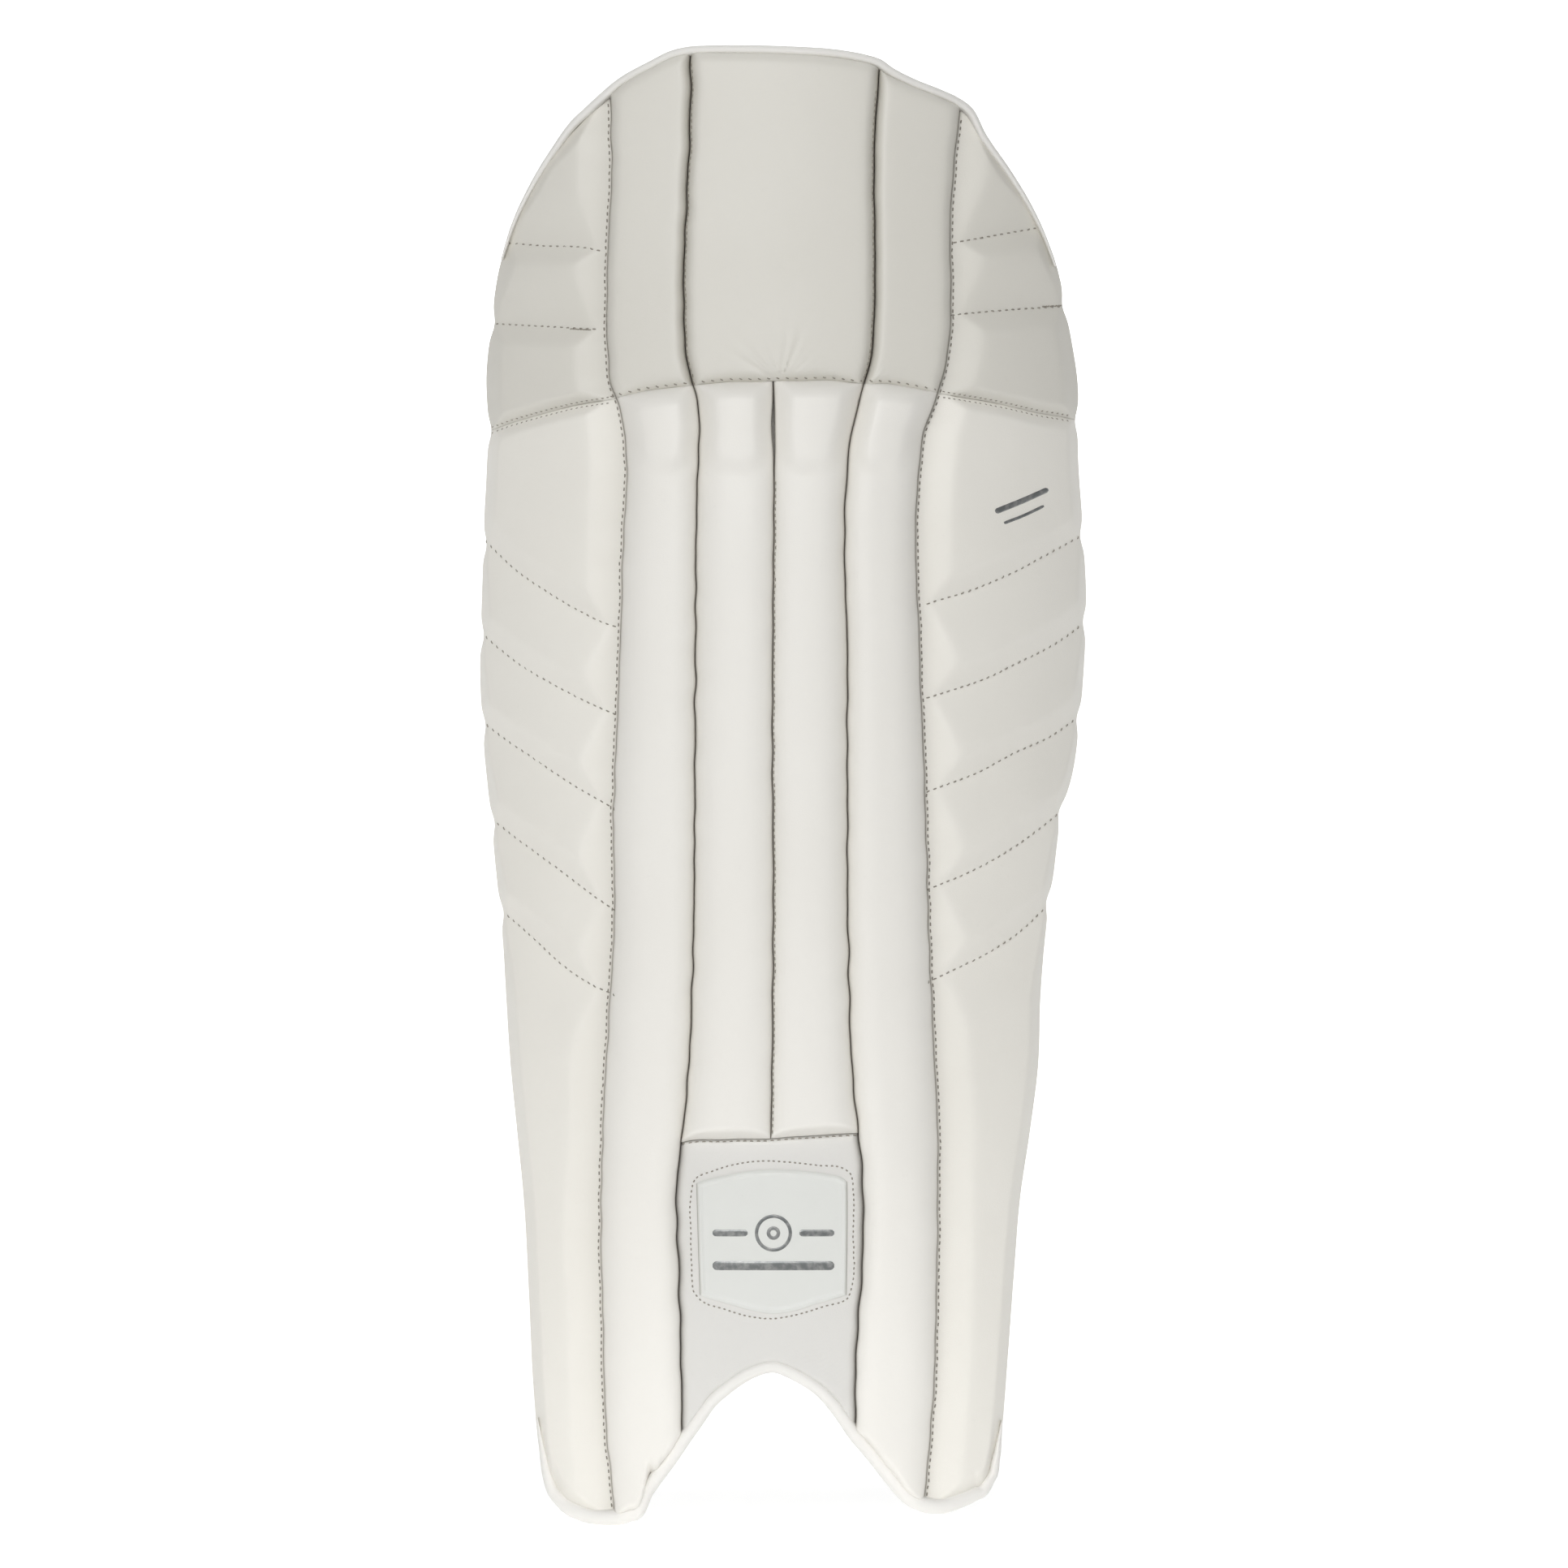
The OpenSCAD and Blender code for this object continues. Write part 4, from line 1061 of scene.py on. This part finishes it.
def webbing_material(name, light, dark):
    material, net, place = new_material(name)
    uv = net.make("UVMap", {"uv_map": "along"})
    u, v = axis_of(net, uv, "X"), axis_of(net, uv, "Y")
    ribs = (v * RIB * 2.0).sine() * 0.5 + 0.5
    picks = (u * RIB * 2.6).sine() * 0.5 + 0.5
    fuzz = net.make("TexNoise", Vector=place, Scale=1800.0, Detail=3.0)
    weave = ribs * 0.55 + picks * ribs * 0.45
    net.principled(Base_Color=mix(net, weave * 0.8 + fuzz * 0.2, dark, light), Roughness=0.8,
                   Normal=net.bump(weave + fuzz * 0.2, 0.6, 0.0005))
    return material


def tape_material(name, light, dark, scale):
    material, net, place = new_material(name)
    nap = net.make("TexNoise", Vector=place, Scale=scale, Detail=5.0, Roughness=0.7)
    tufts = net.make("TexVoronoi", Vector=place, Scale=scale * 0.6)
    net.principled(Base_Color=mix(net, nap, dark, light), Roughness=0.95,
                   Normal=net.bump(nap * 0.6 - tufts * 0.4, 0.9, 0.0008))
    return material


webbing = webbing_material("webbing", (0.82, 0.81, 0.775), (0.60, 0.59, 0.555))
loop_tape = tape_material("loop_tape", (0.80, 0.79, 0.76), (0.62, 0.61, 0.58), 900.0)
hook_tape = tape_material("hook_tape", (0.66, 0.655, 0.63), (0.48, 0.475, 0.45), 1500.0)
ring_plastic = patterned("ring_plastic", lambda net, place: net.make(
    "TexNoise", Vector=place, Scale=300.0, Detail=3.0), (0.78, 0.78, 0.75), (0.72, 0.72, 0.69),
    0.22, 0.1, gloss=0.15)


def ribbon(name, plan, z, half_t, half_w, material):
    """A strap laid along a plan of (across, depth) points at height z."""
    plan = np.asarray(plan, float)
    run = np.gradient(plan, axis=0)
    run /= np.linalg.norm(run, axis=1)[:, None]
    path = np.column_stack([plan, np.full(len(plan), z)])
    side = np.column_stack([run[:, 1], -run[:, 0], np.zeros(len(plan))])
    up = np.tile([0.0, 0, 1], (len(plan), 1))
    return swept(name, path, side, up, half_t, half_w, material, power=7.0)


def arc_points(centre, radius, start, end, step=2.0):
    n = max(6, int(abs(end - start) * radius / step))
    a = np.linspace(start, end, n)
    return np.stack([centre[0] + radius * np.cos(a), centre[1] + radius * np.sin(a)], -1)


def back_rows(name, plan, normal_out, z, rows, body):
    """Rows of stitches along a strap, on the face that normal_out points from."""
    p = resample(plan, 3.0)
    run = np.gradient(p, axis=0)
    run /= np.linalg.norm(run, axis=1)[:, None]
    spots = []
    for row in rows:
        for (x, y), (dx, dy) in zip(p, run):
            normal = np.array([dy, -dx, 0.0]) * normal_out
            spots.append((np.array([x, y, z + row]), np.array([dx, dy, 0.0]), normal))
    piece = stitches(name, spots)
    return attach(piece, body)


STRAPS = (("lower", 115, -108, 76, 66, 6.5), ("middle", 255, -120, 86, 62, 6.9),
          ("upper", 435, -129, 104, 56, 7.8))
BAR, RING_LENGTH, TAIL = 1.5, 12.0, 85.0
TURN = 2.6  # from a bar's centre to the middle of the webbing round it
for word, height, hinge_x, ring_x, bow, stand in STRAPS:
    z = height - SEAT
    hinge = np.array([hinge_x, float(back_depth(hinge_x)) + 2.5])
    ring_at = np.array([ring_x, float(back_depth(ring_x)) + stand])
    span = np.linalg.norm(ring_at - hinge)
    radius = ((span / 2) ** 2 + bow**2) / (2 * bow)
    d = (ring_at - hinge) / span
    centre = (hinge + ring_at) / 2 - (radius - bow) * np.array([-d[1], d[0]])
    bar_b = math.atan2(*(ring_at - centre)[::-1])
    bar_a = bar_b + RING_LENGTH / radius
    root = math.atan2(*(hinge - centre)[::-1])

    band = ribbon(f"strap_{word}_band",
                  arc_points(centre, radius, root - 0.6 / radius, bar_a + 3.9 / radius),
                  z, 0.9, 20.0, webbing)
    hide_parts(f"strap_{word}_band")
    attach(band, f"strap_{word}")
    loops = ribbon(f"strap_{word}_loop_tape",
                   arc_points(centre, radius + 1.6, bar_a + 95 / radius,
                              bar_a + 9 / radius), z, 0.75, 18.0, loop_tape)
    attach(loops, f"strap_{word}")
    back_rows(f"strap_{word}_stitching",
              arc_points(centre, radius + 0.92, root - 3 / radius, bar_a + 100 / radius), -1,
              z, (-17.5, 17.5), f"strap_{word}")

    a_at = centre + (radius + TURN) * np.array([math.cos(bar_a), math.sin(bar_a)])
    b_at = centre + (radius + TURN) * np.array([math.cos(bar_b), math.sin(bar_b)])
    curl = arc_points(a_at, TURN, bar_a + math.radians(-240), bar_a, 0.5)
    outer = arc_points(centre, radius + 2 * TURN, bar_a, bar_a + TAIL / radius)
    tail = ribbon(f"strap_{word}_tail", np.concatenate([curl, outer[1:]]), z,
                  0.85, 19.0, webbing)
    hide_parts(f"strap_{word}_tail")
    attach(tail, f"tail_{word}")
    hooks = ribbon(f"strap_{word}_hook_tape",
                   arc_points(centre, radius + 3.6, bar_a + (TAIL - 12) / radius,
                              bar_a + 9 / radius), z, 0.75, 17.0, hook_tape)
    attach(hooks, f"tail_{word}")
    back_rows(f"tail_{word}_stitching",
              arc_points(centre, radius + 6.07, bar_a + 8 / radius, bar_a + (TAIL - 5) / radius),
              1, z, (-15.5, 15.5), f"tail_{word}")

    # the ring is one moulded loop of round bar with rounded corners
    along = (b_at - a_at) / np.linalg.norm(b_at - a_at)
    out_dir = np.array([-along[1], along[0]])
    half_l, half_h, corner = RING_LENGTH / 2, 23.0, 4.0
    loop = []
    for cx, cz, start in ((1, 1, 0), (-1, 1, 90), (-1, -1, 180), (1, -1, 270)):
        for ang in np.radians(np.linspace(start, start + 90, 9)):
            loop.append((cx * (half_l - corner) + corner * math.cos(ang),
                         cz * (half_h - corner) + corner * math.sin(ang),
                         math.cos(ang), math.sin(ang)))
    loop = np.array(loop)
    mid = (a_at + b_at) / 2
    path = np.column_stack([mid[0] + loop[:, 0] * along[0], mid[1] + loop[:, 0] * along[1],
                            z + loop[:, 1]])
    one = np.column_stack([loop[:, 2] * along[0], loop[:, 2] * along[1], loop[:, 3]])
    two = np.tile([out_dir[0], out_dir[1], 0.0], (len(loop), 1))
    ring = swept(f"strap_{word}_ring", path, one, two, BAR, BAR, ring_plastic, sides=16,
                 closed=True)
    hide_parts(f"strap_{word}_ring")
    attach(ring, f"strap_{word}")

    # the tab wraps the ring's outer bar and lies on the wing's landing patch
    lean = (b_at[0] - 18.8) / math.sqrt(150**2 - (b_at[0] - 18.8) ** 2)
    start = math.atan2(-1, lean)
    wrap = arc_points(b_at, TURN, start, start - math.radians(265), 0.5)
    xs = np.linspace(b_at[0] + 15.5, wrap[0][0] + 3, 10)
    lying = np.stack([xs, back_depth(xs) + 2.7], -1)
    tab = ribbon(f"strap_{word}_tab", np.concatenate([lying, wrap]), z, 0.85, 17.5,
                 webbing)
    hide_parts(f"strap_{word}_tab")
    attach(tab, f"strap_{word}")
    back_rows(f"strap_{word}_tab_stitching", np.stack([xs[1:-2], back_depth(xs[1:-2]) + 3.6], -1),
              1, z, (-14.5, 14.5), f"strap_{word}")

    anchor = panel(f"strap_{word}_anchor", flat(hinge_x + 2.5), flat(hinge_x + 28.0),
                   flat(height - 21.0), flat(height + 21.0), flat(-1.6), binding_leather,
                   across=16, tall=20, back=flat(-3.3), gap=0.0, cover=False)
    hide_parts("strap_anchors")
    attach(anchor, "shin")
    xs = np.linspace(hinge_x + 5, hinge_x + 25.5, 12)
    back_rows(f"strap_{word}_anchor_stitching", np.stack([xs, back_depth(xs) + 3.35], -1), -1, z,
              (-18.5, -6, 6, 18.5), "shin")
    patch = panel(f"strap_{word}_landing", flat(ring_x - 2.0), flat(ring_x + 20.0),
                  flat(height - 21.0), flat(height + 21.0), flat(-0.3), loop_tape,
                  across=16, tall=20, back=flat(-1.5), gap=0.0, cover=False)
    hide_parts("landing_patches")
    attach(patch, "shin")
